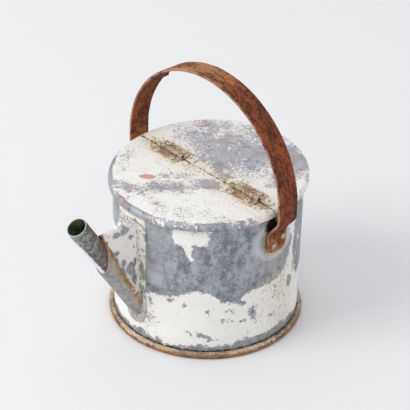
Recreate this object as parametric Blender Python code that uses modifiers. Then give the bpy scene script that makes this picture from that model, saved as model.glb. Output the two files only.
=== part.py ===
"""Galvanised watering can with a hinged filling lid, a strap handle and a straight spout.

Metres, +Z up. The origin is the centre of the base, on the ground. The spout points to -Y, the strap
handle stands in the XZ plane, and the lid over the +Y half opens about an axis along X.
"""

import math

import bmesh
import bpy
from mathutils import Matrix, Vector

# Sheet and fits
SHEET = 0.0010
GAP = 0.0003
ROUND_STEPS = 80

# Tank
TANK_RADIUS = 0.1000
TOP_HEIGHT = 0.1680
TOP_FALL = math.radians(3.3)
SEAM_OVERHANG = 0.0053
SEAM_HEIGHT = 0.0065
SIDE_LAP_WIDTH = 0.012

# Covers
COVER_OVERHANG = 0.0048
COVER_RADIUS = TANK_RADIUS + COVER_OVERHANG
COVER_SHOULDER = 0.0045
COVER_LIP = 0.0068
COVER_SPLIT = 0.0010
EDGE_FOLD = 0.0060

# Hinges
HINGE_LINE_Y = -0.0055
HINGE_CENTRES_X = (-0.53 * TANK_RADIUS, 0.61 * TANK_RADIUS)
LEAF_LENGTH = 0.0390
LEAF_WIDTH = 0.0132
LEAF_THICKNESS = 0.0010
KNUCKLE_RADIUS = 0.0024
KNUCKLE_COUNT = 5
PIN_RADIUS = 0.0011
LEAF_RIVET_SPACING = 0.0236
LEAF_RIVET_INSET = 0.0086

# Pop rivets in the leaves
POP_HEAD_RADIUS = 0.0032
POP_HEAD_HEIGHT = 0.0013
POP_SHANK_RADIUS = 0.0016
POP_HOLE_RADIUS = 0.0010
POP_TAIL_RADIUS = 0.0024
POP_TAIL_LENGTH = 0.0026

# Spout pipe
PIPE_RADIUS = 0.0107
PIPE_WALL = 0.0011
PIPE_ANGLE = math.radians(58.0)
PIPE_ROOT_HEIGHT = 0.0500
PIPE_REACH = 0.0743
PIPE_STEPS = 32

# Spout housing
HOUSING_SHEET = 0.0009
HOUSING_REACH = 0.0455
HOUSING_TOP = 0.1458
HOUSING_RIDGE = 0.0028
HOUSING_PINCH = 2.2
HOUSING_FLANGE_X = 0.0155
HOUSING_FLANGE_FOOT = 0.0070

# Strap handle
STRAP_WIDTH = 0.0250
STRAP_THICKNESS = 0.0030
ARCH_HALF_SPAN = 0.1147
ARCH_SPRING_HEIGHT = 0.1700
ARCH_RISE = 0.1107
ARCH_OFFSET = 0.0022
JOGGLE_TOP = 0.1570
JOGGLE_FOOT = 0.1410
FOOT_LENGTH = 0.0235
FOOT_CORNER = 0.0070
BEND_RADIUS = 0.0140

# Handle rivets, as (across the foot, drop below the joggle)
FOOT_RIVETS = ((0.0075, 0.0080), (-0.0055, 0.0152))
FOOT_HEAD_RADIUS = 0.0040
FOOT_HEAD_HEIGHT = 0.0012
FOOT_SHANK_RADIUS = 0.0024

# What follows from them
FOOT_END = JOGGLE_FOOT - FOOT_LENGTH
HINGE_AXIS_LIFT = GAP + KNUCKLE_RADIUS
PIPE_TILT = math.pi / 2 - PIPE_ANGLE
PIPE_INSIDE_LENGTH = 4 * PIPE_RADIUS
RIVET_CUT_LENGTH = 10 * SHEET


def clear_scene():
    """Empties the scene and makes the two collections."""
    for old in list(bpy.data.objects):
        bpy.data.objects.remove(old, do_unlink=True)
    parts = bpy.data.collections.new("watering_can")
    cutters = bpy.data.collections.new("cutters")
    cutters.hide_render = True
    for group in (parts, cutters):
        bpy.context.scene.collection.children.link(group)
    return parts, cutters


PARTS, CUTTERS = clear_scene()


def metal(name, colour, roughness, metallic):
    """A Principled material of one colour."""
    material = bpy.data.materials.new(name)
    material.use_nodes = True
    shader = material.node_tree.nodes["Principled BSDF"]
    shader.inputs["Base Color"].default_value = (*colour, 1.0)
    shader.inputs["Roughness"].default_value = roughness
    shader.inputs["Metallic"].default_value = metallic
    return material


PAINTED = metal("flaked_white_paint", (0.72, 0.71, 0.67), 0.55, 0.0)
GALVANISED = metal("weathered_zinc", (0.33, 0.35, 0.38), 0.50, 0.4)
RUST = metal("rusty_steel", (0.24, 0.075, 0.035), 0.80, 0.1)
COPPER = metal("patinated_pipe", (0.16, 0.12, 0.09), 0.50, 0.6)
RIVET_METAL = metal("dull_rivet", (0.50, 0.49, 0.45), 0.45, 0.5)


def empty(name, location, rotation=(0.0, 0.0, 0.0), parent=None):
    """A frame that pieces are placed in."""
    frame = bpy.data.objects.new(name, None)
    frame.location = location
    frame.rotation_euler = rotation
    frame.parent = parent
    PARTS.objects.link(frame)
    return frame


def add(name, mesh, material=None, parent=None, location=(0, 0, 0), rotation=(0, 0, 0)):
    """Links a piece, or a cutter when it has no material."""
    piece = bpy.data.objects.new(name, mesh)
    piece.parent = parent
    piece.location = location
    piece.rotation_euler = rotation
    if material is None:
        CUTTERS.objects.link(piece)
        piece.hide_render = True
        piece.display_type = "WIRE"
        return piece
    mesh.materials.append(material)
    PARTS.objects.link(piece)
    return piece


def applied(piece):
    """Turns the modifiers on a piece into plain mesh."""
    bpy.context.view_layer.update()
    graph = bpy.context.evaluated_depsgraph_get()
    mesh = bpy.data.meshes.new_from_object(piece.evaluated_get(graph))
    piece.modifiers.clear()
    piece.data = mesh
    return mesh


def smooth(piece, degrees=35.0):
    """Shades round faces smooth and keeps the folds sharp."""
    piece.data.shade_smooth()
    piece.data.set_sharp_from_angle(angle=math.radians(degrees))


def turned(name, profile, steps, material=None, closed=False, **place):
    """A profile of (radius, height) points turned about Z. Its outer side runs from top to bottom."""
    mesh = bpy.data.meshes.new(name)
    edges = [(i, i + 1) for i in range(len(profile) - 1)]
    if closed:
        edges.append((len(profile) - 1, 0))
    mesh.from_pydata([(r, 0.0, z) for r, z in profile], edges, [])
    piece = add(name, mesh, material, **place)
    turn = piece.modifiers.new("turn", "SCREW")
    turn.steps = steps
    turn.render_steps = steps
    turn.use_merge_vertices = True
    turn.merge_threshold = 0.00001
    applied(piece)
    smooth(piece)
    return piece


def rod(name, radius, length, steps, material=None, **place):
    """A cylinder along its own Z, centred on its origin."""
    mesh = bpy.data.meshes.new(name)
    shape = bmesh.new()
    bmesh.ops.create_cone(
        shape, cap_ends=True, segments=steps, radius1=radius, radius2=radius, depth=length
    )
    shape.to_mesh(mesh)
    shape.free()
    piece = add(name, mesh, material, **place)
    if material:
        smooth(piece)
    return piece


def block(name, low, high, **place):
    """A box cutter or filler between two corners."""
    mesh = bpy.data.meshes.new(name)
    shape = bmesh.new()
    bmesh.ops.create_cube(shape, size=1.0)
    for vertex in shape.verts:
        for axis in range(3):
            share = vertex.co[axis] + 0.5
            vertex.co[axis] = low[axis] + share * (high[axis] - low[axis])
    shape.to_mesh(mesh)
    shape.free()
    return add(name, mesh, **place)


def boolean(piece, other, operation="DIFFERENCE"):
    """Cuts a piece by another, or joins or trims it."""
    step = piece.modifiers.new(other.name, "BOOLEAN")
    step.operation = operation
    step.solver = "EXACT"
    step.object = other


def sheet(name, rows, thickness, material, outward=True, missing=(), **place):
    """A surface through rows of points, thickened along its normals, away from or towards them."""
    width = len(rows[0])
    points = [point for row in rows for point in row]
    faces = [
        (i * width + j, (i + 1) * width + j, (i + 1) * width + j + 1, i * width + j + 1)
        for i in range(len(rows) - 1)
        for j in range(width - 1)
        if (i, j) not in missing
    ]
    mesh = bpy.data.meshes.new(name)
    mesh.from_pydata(points, [], faces)
    shape = bmesh.new()
    shape.from_mesh(mesh)
    bmesh.ops.remove_doubles(shape, verts=shape.verts, dist=0.000001)
    loose = [v for v in shape.verts if not v.link_faces]
    bmesh.ops.delete(shape, geom=loose, context="VERTS")
    shape.to_mesh(mesh)
    shape.free()
    piece = add(name, mesh, material, **place)
    wall = piece.modifiers.new("sheet", "SOLIDIFY")
    wall.thickness = thickness
    wall.offset = 1.0 if outward else -1.0
    wall.use_even_offset = True
    applied(piece)
    smooth(piece)
    return piece


def arc(centre, radius, start, end, steps):
    """Points on an arc, with angles in degrees from the first axis."""
    turns = [math.radians(start + (end - start) * i / steps) for i in range(steps + 1)]
    return [
        (centre[0] + radius * math.cos(t), centre[1] + radius * math.sin(t)) for t in turns
    ]


def rounded(path, radius, steps=4):
    """A path of two-number points with its inner corners bent to a radius."""
    result = [path[0]]
    for before, corner, after in zip(path, path[1:], path[2:]):
        to_before = (before[0] - corner[0], before[1] - corner[1])
        to_after = (after[0] - corner[0], after[1] - corner[1])
        reach_before = math.hypot(*to_before)
        reach_after = math.hypot(*to_after)
        u = (to_before[0] / reach_before, to_before[1] / reach_before)
        v = (to_after[0] / reach_after, to_after[1] / reach_after)
        half = math.acos(max(-1.0, min(1.0, u[0] * v[0] + u[1] * v[1]))) / 2
        back = min(radius / math.tan(half), 0.45 * reach_before, 0.45 * reach_after)
        for i in range(steps + 1):
            t = i / steps
            near = (1 - t) ** 2 * back
            far = t**2 * back
            result.append(
                (
                    corner[0] + u[0] * near + v[0] * far,
                    corner[1] + u[1] * near + v[1] * far,
                )
            )
    result.append(path[-1])
    return result


COVER_PLANE = empty("cover_plane", (0.0, 0.0, TOP_HEIGHT), (TOP_FALL, 0.0, 0.0))
LID_HINGE = empty(
    "lid_hinge_axis", (0.0, HINGE_LINE_Y, HINGE_AXIS_LIFT), parent=COVER_PLANE
)
PIPE_FRAME = empty(
    "pipe_frame", (0.0, -TANK_RADIUS, PIPE_ROOT_HEIGHT), (PIPE_TILT, 0.0, 0.0)
)


def foot_shank_cutter(side, index, across, drop):
    """The hole through strap and wall for one handle rivet."""
    return rod(
        f"cut_foot_{'left' if side < 0 else 'right'}_{index}",
        FOOT_SHANK_RADIUS + GAP,
        10 * STRAP_THICKNESS,
        16,
        location=(side * TANK_RADIUS, across, JOGGLE_FOOT - drop),
        rotation=(0.0, math.pi / 2, 0.0),
    )


FOOT_CUTTERS = [
    foot_shank_cutter(side, index, across, drop)
    for side in (-1, 1)
    for index, (across, drop) in enumerate(FOOT_RIVETS)
]


def tank_wall():
    """Rolled sheet, its foot edge hooked for the base seam and its top edge curled out under the covers."""
    hook_out = TANK_RADIUS + SEAM_OVERHANG - SHEET - GAP
    hook_in = hook_out - SHEET
    hook_top = SEAM_HEIGHT - SHEET - GAP
    foot = SHEET + GAP
    top = TOP_HEIGHT - SHEET - GAP
    inside = TANK_RADIUS - SHEET
    curl_centre = (COVER_RADIUS - COVER_SHOULDER, TOP_HEIGHT - COVER_SHOULDER)
    curl_out = COVER_SHOULDER - SHEET - GAP
    curl_in = curl_out - SHEET
    profile = [(inside, foot), (inside, top)]
    profile += arc(curl_centre, curl_out, 90, 0, 4)
    profile += arc(curl_centre, curl_in, 0, 90, 4)
    profile += [
        (TANK_RADIUS, top - 1.3 * SHEET),
        (TANK_RADIUS, foot + SHEET),
        (hook_in, foot + SHEET),
        (hook_in, hook_top),
        (hook_out, hook_top),
        (hook_out, foot),
    ]
    wall = turned("tank_wall", profile, ROUND_STEPS, PAINTED, closed=True)
    lean = Matrix.Rotation(TOP_FALL, 4, "X")
    top_centre = Vector((0.0, 0.0, TOP_HEIGHT))
    for vertex in wall.data.vertices:
        if vertex.co.z > TOP_HEIGHT / 2:
            vertex.co = top_centre + lean @ (vertex.co - top_centre)

    lap_out = TANK_RADIUS + SHEET * 0.8
    half_turn = math.degrees(SIDE_LAP_WIDTH / 2 / TANK_RADIUS)
    low = SEAM_HEIGHT + SHEET
    high = TOP_HEIGHT + TANK_RADIUS * math.sin(TOP_FALL) - COVER_SHOULDER - SHEET
    outer = arc((0, 0), lap_out, 90 - half_turn, 90 + half_turn, 4)
    inner = arc((0, 0), TANK_RADIUS - SHEET / 2, 90 + half_turn, 90 - half_turn, 4)
    outline = outer + inner
    count = len(outline)
    mesh = bpy.data.meshes.new("side_lap")
    points = [(x, y, low) for x, y in outline] + [(x, y, high) for x, y in outline]
    sides = [(i, (i + 1) % count, (i + 1) % count + count, i + count) for i in range(count)]
    ends = [tuple(reversed(range(count))), tuple(range(count, 2 * count))]
    mesh.from_pydata(points, [], sides + ends)
    boolean(wall, add("side_lap", mesh), "UNION")

    pipe_hole = rod(
        "cut_pipe_hole",
        PIPE_RADIUS + GAP,
        2 * PIPE_INSIDE_LENGTH,
        PIPE_STEPS,
        parent=PIPE_FRAME,
    )
    boolean(wall, pipe_hole)
    for cutter in FOOT_CUTTERS:
        boolean(wall, cutter)


def tank_base():
    """Round sheet, its edge folded up, in and down again, so that it grips the wall's hook."""
    outer = TANK_RADIUS + SEAM_OVERHANG
    inner = outer - SHEET
    hook_out = inner - 2 * GAP - SHEET
    hook_in = hook_out - SHEET
    under = SEAM_HEIGHT - SHEET
    hook_foot = 2 * SHEET + 2 * GAP
    ease = SHEET * 0.9
    profile = [
        (0.0, SHEET),
        (inner, SHEET),
        (inner, under),
        (hook_out, under),
        (hook_out, hook_foot),
        (hook_in, hook_foot),
        (hook_in, SEAM_HEIGHT - ease),
        (hook_in + ease, SEAM_HEIGHT),
        (outer - ease, SEAM_HEIGHT),
        (outer, SEAM_HEIGHT - ease),
        (outer, ease),
        (outer - ease, 0.0),
        (0.0, 0.0),
    ]
    turned("tank_base", profile, ROUND_STEPS, GALVANISED)


def cover_profile():
    """Half section of a cover: flat top, rounded shoulder and short lip, one sheet thick."""
    shoulder = (COVER_RADIUS - COVER_SHOULDER, -COVER_SHOULDER)
    lip = COVER_RADIUS
    outside = arc(shoulder, COVER_SHOULDER, 90, 0, 4) + [(lip, -COVER_LIP)]
    inside = [(lip - SHEET, -COVER_LIP)] + arc(shoulder, COVER_SHOULDER - SHEET, 0, 90, 4)
    return [(0.0, 0.0)] + outside + inside + [(0.0, -SHEET)]


def leaf_rivet_places(side):
    """Places of a leaf's rivets about its hinge, on the fixed side (-1) or the lid's side (1)."""
    return [
        (centre + end * LEAF_RIVET_SPACING / 2, side * LEAF_RIVET_INSET)
        for centre in HINGE_CENTRES_X
        for end in (-1, 1)
    ]


def covers():
    """Two half-moon covers that part along the hinge line."""
    reach = 2 * COVER_RADIUS
    split = COVER_SPLIT / 2
    kept = {
        "front_cover": ((-reach, -reach, -reach), (reach, HINGE_LINE_Y - split, reach)),
        "rear_lid": ((-reach, HINGE_LINE_Y + split, -reach), (reach, reach, reach)),
    }
    hinge_place = (0.0, -HINGE_LINE_Y, -HINGE_AXIS_LIFT)
    for name, (low, high) in kept.items():
        moving = name == "rear_lid"
        parent = LID_HINGE if moving else COVER_PLANE
        place = {"parent": parent, "location": hinge_place if moving else (0, 0, 0)}
        cover = turned(name, cover_profile(), ROUND_STEPS, PAINTED, **place)
        boolean(cover, block(f"keep_{name}", low, high, **place), "INTERSECT")
        side = 1 if moving else -1
        for index, (x, y) in enumerate(leaf_rivet_places(side)):
            hole = rod(
                f"cut_{name}_{index}",
                POP_SHANK_RADIUS + GAP,
                RIVET_CUT_LENGTH,
                12,
                parent=COVER_PLANE,
                location=(x, HINGE_LINE_Y + y, 0.0),
            )
            boolean(cover, hole)
        if not moving:
            half_fold = TANK_RADIUS - 3 * SHEET
            fold = block(
                "front_edge_fold",
                (-half_fold, HINGE_LINE_Y - split - SHEET, -EDGE_FOLD),
                (half_fold, HINGE_LINE_Y - split, -SHEET / 2),
                **place,
            )
            boolean(cover, fold, "UNION")


def knuckle_spans(own):
    """Ends along X of the knuckles that belong to one leaf: the odd ones to the fixed leaf."""
    pitch = LEAF_LENGTH / KNUCKLE_COUNT
    start = -LEAF_LENGTH / 2
    spans = []
    for index in range(KNUCKLE_COUNT):
        if index % 2 != own:
            continue
        low = start + index * pitch + (GAP / 2 if index else 0.0)
        last = index == KNUCKLE_COUNT - 1
        high = start + (index + 1) * pitch - (0.0 if last else GAP / 2)
        spans.append((low, high))
    return spans


def hinge_leaf(name, centre_x, moving):
    """One leaf: a flat plate whose knuckles are rolled over the pin from the plate's own sheet."""
    spans = knuckle_spans(1 if moving else 0)
    cuts = {-LEAF_LENGTH / 2, LEAF_LENGTH / 2}
    for low, high in spans:
        cuts.update((low, high))
    xs = sorted(cuts)
    notch = -(KNUCKLE_RADIUS + GAP)
    flat = [(-LEAF_WIDTH, -KNUCKLE_RADIUS), (notch, -KNUCKLE_RADIUS)]
    curl = arc((0.0, 0.0), KNUCKLE_RADIUS, -90, 195, 12)
    section = flat + curl
    turn = -1 if moving else 1
    rows = [[(x, turn * y, z) for y, z in section] for x in xs]
    missing = [
        (i, j)
        for i in range(len(xs) - 1)
        for j in range(1, len(section) - 1)
        if not any(low - 1e-9 <= xs[i] and xs[i + 1] <= high + 1e-9 for low, high in spans)
    ]
    place = (centre_x, 0.0, 0.0) if moving else (centre_x, HINGE_LINE_Y, HINGE_AXIS_LIFT)
    leaf = sheet(
        name,
        rows if moving else rows[::-1],
        LEAF_THICKNESS,
        RUST,
        outward=False,
        missing=missing if moving else flipped(missing, len(xs) - 1),
        parent=LID_HINGE if moving else COVER_PLANE,
        location=place,
    )
    for index, end in enumerate((-1, 1)):
        hole = rod(
            f"cut_{name}_{index}",
            POP_SHANK_RADIUS + GAP,
            RIVET_CUT_LENGTH,
            12,
            parent=COVER_PLANE,
            location=(
                centre_x + end * LEAF_RIVET_SPACING / 2,
                HINGE_LINE_Y - turn * LEAF_RIVET_INSET,
                0.0,
            ),
        )
        boolean(leaf, hole)


def flipped(missing, count):
    """The same gaps in a grid whose rows run the other way."""
    return [(count - 1 - i, j) for i, j in missing]


def hinges():
    """Two butt hinges laid flat on the covers, with their pins."""
    for side, centre_x in zip(("left", "right"), HINGE_CENTRES_X):
        hinge_leaf(f"hinge_{side}_fixed_leaf", centre_x, moving=False)
        hinge_leaf(f"hinge_{side}_lid_leaf", centre_x, moving=True)
        rod(
            f"hinge_{side}_pin",
            PIN_RADIUS,
            LEAF_LENGTH,
            12,
            RUST,
            parent=COVER_PLANE,
            location=(centre_x, HINGE_LINE_Y, HINGE_AXIS_LIFT),
            rotation=(0.0, math.pi / 2, 0.0),
        )


def pop_rivet_profile():
    """A blind rivet: ring head open where its stem broke off, shank, and the bulb below the sheet."""
    grip = 3 * GAP + LEAF_THICKNESS + SHEET
    head = POP_HEAD_RADIUS
    height = POP_HEAD_HEIGHT
    return [
        (0.0, 0.15 * height),
        (POP_HOLE_RADIUS, 0.15 * height),
        (POP_HOLE_RADIUS, 0.90 * height),
        (0.50 * head, height),
        (0.80 * head, 0.75 * height),
        (head, 0.25 * height),
        (head, 0.0),
        (POP_SHANK_RADIUS, 0.0),
        (POP_SHANK_RADIUS, -grip),
        (POP_TAIL_RADIUS, -grip),
        (POP_TAIL_RADIUS, -grip - 0.6 * POP_TAIL_LENGTH),
        (0.0, -grip - POP_TAIL_LENGTH),
    ]


def leaf_rivets():
    """Two pop rivets in each leaf, through the leaf and the cover under it."""
    seat = 2 * GAP + LEAF_THICKNESS
    for owner, side in (("fixed", -1), ("lid", 1)):
        moving = owner == "lid"
        for index, (x, y) in enumerate(leaf_rivet_places(side)):
            hinge = "left" if index < 2 else "right"
            place = (x, y, seat - HINGE_AXIS_LIFT) if moving else (x, HINGE_LINE_Y + y, seat)
            turned(
                f"hinge_{hinge}_{owner}_rivet_{index % 2 + 1}",
                pop_rivet_profile(),
                14,
                RIVET_METAL,
                parent=LID_HINGE if moving else COVER_PLANE,
                location=place,
            )


def spout_tube():
    """Straight pipe whose lower end is mitred to the inside of the wall."""
    length = PIPE_REACH / math.cos(PIPE_ANGLE)
    bore = PIPE_RADIUS - PIPE_WALL
    ease = PIPE_WALL * 0.35
    profile = [
        (bore, -PIPE_INSIDE_LENGTH),
        (bore, length - ease),
        (bore + ease, length),
        (PIPE_RADIUS - ease, length),
        (PIPE_RADIUS, length - ease),
        (PIPE_RADIUS, -PIPE_INSIDE_LENGTH),
    ]
    pipe = turned(
        "spout_tube", profile, PIPE_STEPS, COPPER, closed=True, parent=PIPE_FRAME
    )
    inside = rod(
        "cut_pipe_mitre",
        TANK_RADIUS - 2.2 * SHEET,
        3 * TOP_HEIGHT,
        ROUND_STEPS,
        location=(0.0, 0.0, TOP_HEIGHT / 2),
    )
    boolean(pipe, inside)


def pipe_centre_height(y):
    """Height of the pipe's axis above the ground, at a place along Y."""
    return PIPE_ROOT_HEIGHT + (-y - TANK_RADIUS) * math.tan(PIPE_ANGLE)


def housing_half_section(y, share):
    """Right half of the housing's section across Y, from its foot round the pipe up to its ridge."""
    centre = pipe_centre_height(y)
    turn = math.pi / 12
    wide = (PIPE_RADIUS + GAP) / math.cos(turn / 2)
    tall = wide / math.cos(PIPE_ANGLE)
    below = [
        (wide * math.sin(i * turn), centre - tall * math.cos(i * turn)) for i in range(7)
    ]
    ridge = HOUSING_TOP - HOUSING_RIDGE
    pinch = 1.0 + HOUSING_PINCH * share
    pipe_top = centre + min(tall, ridge - centre)
    heights = [centre + (pipe_top - centre) * math.sin(i * turn) for i in range(1, 7)]
    heights += [pipe_top + (ridge - pipe_top + 0.0001) * i / 4 for i in range(1, 5)]
    above = []
    for z in heights:
        round_pipe = wide * math.sqrt(max(0.0, 1.0 - ((z - centre) / tall) ** 2))
        left_over = max(0.0, 1.0 - (z - centre) / (ridge - centre))
        panel = HOUSING_RIDGE + (wide - HOUSING_RIDGE) * left_over**pinch
        above.append((max(round_pipe, panel), z))
    top = heights[-1]
    crown = [
        (HOUSING_RIDGE * math.cos(i * 2 * turn), top + HOUSING_RIDGE * math.sin(i * 2 * turn))
        for i in range(1, 4)
    ]
    return below + above + crown


def spout_housing():
    """One sheet folded round the pipe to a narrow ridge, its edges flanged out on the wall."""
    clear = TANK_RADIUS + GAP
    front = -(TANK_RADIUS + HOUSING_REACH)
    steps = 7
    rows = []
    for i in range(steps + 1):
        share = i / steps
        y = front + (-clear - front) * share
        half = housing_half_section(y, share)
        whole = half + [(-x, z) for x, z in half[-2:0:-1]]
        if i == steps:
            row = [(x, -math.sqrt(clear**2 - x * x), z) for x, z in whole]
        else:
            row = [(x, y, z) for x, z in whole]
        rows.append(row + row[:1])
    fold = rows[-1]
    flange = []
    last = len(fold) - 1
    for j in range(last):
        before = fold[j - 1 if j else last - 1]
        after = fold[j + 1 if j < last else 1]
        along = (after[0] - before[0], after[2] - before[2])
        reach = math.hypot(*along)
        side, down = along[1] / reach, -along[0] / reach
        x = fold[j][0]
        wanted = HOUSING_FLANGE_X * abs(side)
        x = math.copysign(max(abs(x), wanted), side) if abs(side) > 0.05 else x
        z = fold[j][2] + HOUSING_FLANGE_FOOT * min(down, 0.0)
        flange.append((x, -math.sqrt(clear**2 - x * x), z))
    rows.append(flange + flange[:1])
    sheet("spout_housing", rows, HOUSING_SHEET, PAINTED)


def strap_path():
    """Outer face of the strap in the XZ plane, from the left foot over the arch to the right foot."""
    foot = TANK_RADIUS + GAP + STRAP_THICKNESS
    left = -ARCH_HALF_SPAN + ARCH_OFFSET
    right = ARCH_HALF_SPAN + ARCH_OFFSET
    rise = [
        (-foot, FOOT_END + FOOT_CORNER),
        (-foot, JOGGLE_FOOT),
        (left, JOGGLE_TOP),
        (left, ARCH_SPRING_HEIGHT),
    ]
    fall = [
        (right, ARCH_SPRING_HEIGHT),
        (right, JOGGLE_TOP),
        (foot, JOGGLE_FOOT),
        (foot, FOOT_END + FOOT_CORNER),
    ]
    steps = 36
    turns = [math.pi - math.pi * i / steps for i in range(1, steps)]
    arch = [
        (
            ARCH_OFFSET + ARCH_HALF_SPAN * math.cos(t),
            ARCH_SPRING_HEIGHT + ARCH_RISE * math.sin(t),
        )
        for t in turns
    ]
    return rounded(rise, BEND_RADIUS) + arch + rounded(fall, BEND_RADIUS)


def handle_strap():
    """Flat bar bent to an arch, stepped in below the covers to lie on the wall, its ends rounded."""
    half = STRAP_WIDTH / 2
    path = strap_path()
    foot = path[-1][0]
    corner_centre = (half - FOOT_CORNER, FOOT_END + FOOT_CORNER)
    corner = arc(corner_centre, FOOT_CORNER, -90, 0, 4)[:-1]
    rows = [[(-foot, -y, z), (-foot, y, z)] for y, z in corner]
    rows += [[(x, -half, z), (x, half, z)] for x, z in path]
    rows += [[(foot, -y, z), (foot, y, z)] for y, z in reversed(corner)]
    strap = sheet("handle_strap", rows, STRAP_THICKNESS, RUST, outward=False)
    for cutter in FOOT_CUTTERS:
        boolean(strap, cutter)


def foot_rivets():
    """Low round-headed rivets through each foot and the wall, closed to a flat head inside."""
    for side, label in ((-1, "left"), (1, "right")):
        for index, (across, drop) in enumerate(FOOT_RIVETS):
            seat = TANK_RADIUS + 2 * GAP + STRAP_THICKNESS
            far_edge = abs(across) + FOOT_HEAD_RADIUS
            inside = math.sqrt((TANK_RADIUS - SHEET) ** 2 - far_edge**2) - 2 * GAP
            grip = seat - inside
            head = FOOT_HEAD_RADIUS
            rise = FOOT_HEAD_HEIGHT
            profile = [
                (0.0, rise),
                (0.55 * head, 0.90 * rise),
                (0.90 * head, 0.50 * rise),
                (head, 0.0),
                (FOOT_SHANK_RADIUS, 0.0),
                (FOOT_SHANK_RADIUS, -grip),
                (head, -grip),
                (0.85 * head, -grip - 0.8 * rise),
                (0.0, -grip - rise),
            ]
            turned(
                f"handle_{label}_rivet_{index + 1}",
                profile,
                16,
                RIVET_METAL,
                location=(side * seat, across, JOGGLE_FOOT - drop),
                rotation=(0.0, side * math.pi / 2, 0.0),
            )


tank_wall()
tank_base()
covers()
hinges()
leaf_rivets()
spout_tube()
spout_housing()
handle_strap()
foot_rivets()
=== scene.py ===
import math

import bmesh
import bpy
import numpy as np
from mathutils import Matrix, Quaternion, Vector


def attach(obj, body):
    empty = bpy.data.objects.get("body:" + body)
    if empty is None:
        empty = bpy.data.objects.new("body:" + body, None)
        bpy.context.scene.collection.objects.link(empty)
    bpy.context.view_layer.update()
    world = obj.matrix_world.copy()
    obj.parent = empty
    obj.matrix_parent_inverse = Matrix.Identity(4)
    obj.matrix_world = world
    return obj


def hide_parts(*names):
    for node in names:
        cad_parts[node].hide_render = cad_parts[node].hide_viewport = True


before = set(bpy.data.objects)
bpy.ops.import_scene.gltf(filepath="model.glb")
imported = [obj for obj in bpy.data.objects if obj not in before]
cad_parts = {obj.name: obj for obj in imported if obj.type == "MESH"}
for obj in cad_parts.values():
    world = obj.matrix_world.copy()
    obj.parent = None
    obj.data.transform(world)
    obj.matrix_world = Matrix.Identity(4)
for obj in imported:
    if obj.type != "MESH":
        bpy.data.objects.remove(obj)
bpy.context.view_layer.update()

# Studio
# A pale sheet under the can, one large soft lamp high on the left, and a room that lights the
# shadow side. The camera stands where the photographer stood, above the right of the spout.

SHEET_OF_PAPER = 6.0
PAPER = (0.79, 0.79, 0.80)

bpy.ops.mesh.primitive_plane_add(size=SHEET_OF_PAPER, location=(0.0, 0.0, -0.0002))
paper = bpy.context.object
paper.name = "paper"

paper_finish = bpy.data.materials.new("paper")
paper_finish.use_nodes = True
paper_shader = paper_finish.node_tree.nodes["Principled BSDF"]
paper_shader.inputs["Base Color"].default_value = (*PAPER, 1.0)
paper_shader.inputs["Roughness"].default_value = 0.9
paper.data.materials.append(paper_finish)

room = bpy.data.worlds.new("room")
room.use_nodes = True
room.node_tree.nodes["Background"].inputs["Color"].default_value = (0.955, 0.96, 0.985, 1.0)
room.node_tree.nodes["Background"].inputs["Strength"].default_value = 0.86
bpy.context.scene.world = room


def soft_lamp(name, place, aim, size, watts, colour):
    """A square lamp that faces a point."""
    lamp = bpy.data.lights.new(name, "AREA")
    lamp.size = size
    lamp.energy = watts
    lamp.color = colour
    holder = bpy.data.objects.new(name, lamp)
    holder.location = place
    holder.rotation_euler = (Vector(aim) - Vector(place)).to_track_quat("-Z", "Y").to_euler()
    bpy.context.scene.collection.objects.link(holder)


soft_lamp("window", (-1.2, -3.2, 3.0), (0.0, 0.0, 0.1), 2.2, 92.0, (1.0, 0.99, 0.965))

CAMERA_PLACE = Vector((0.9418, -0.8931, 0.9222))
CAMERA_AIM = Vector((-0.0181, 0.0133, 0.1102))
CAMERA_ROLL = math.radians(1.25)

view = bpy.data.cameras.new("view")
view.lens = 126.8
view.sensor_width = 36.0
camera = bpy.data.objects.new("view", view)
camera.rotation_mode = "QUATERNION"
camera.location = CAMERA_PLACE
camera.rotation_quaternion = (CAMERA_AIM - CAMERA_PLACE).to_track_quat("-Z", "Y") @ Quaternion(
    (0.0, 0.0, 1.0), CAMERA_ROLL
)
bpy.context.scene.collection.objects.link(camera)
bpy.context.scene.camera = camera
bpy.context.scene.view_settings.view_transform = "Standard"

# Tank wall
# Sheet steel, galvanised, rolled to a cylinder and lapped at the back. The off-white house paint
# has come off in one big field beside the spout and in many chips, down to mottled grey zinc.

SHEET = 0.0010
WALL_RADIUS = 0.1000
WALL_FOOT = 0.0023
TOP_HEIGHT = 0.1680
TOP_FALL = math.radians(3.3)
CURL_CENTRE = (0.1003, -0.0045)
CURL_RADIUS = 0.0022
RIM_DROP = 0.0026
LAP_HALF_WIDTH = 0.006
LAP_RISE = 0.0008
PIPE_ANGLE = math.radians(58.0)
PIPE_ROOT = (-0.1000, 0.0500)
HOLE_RADIUS = 0.0110
SHARP_ANGLE = math.radians(38.0)


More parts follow.
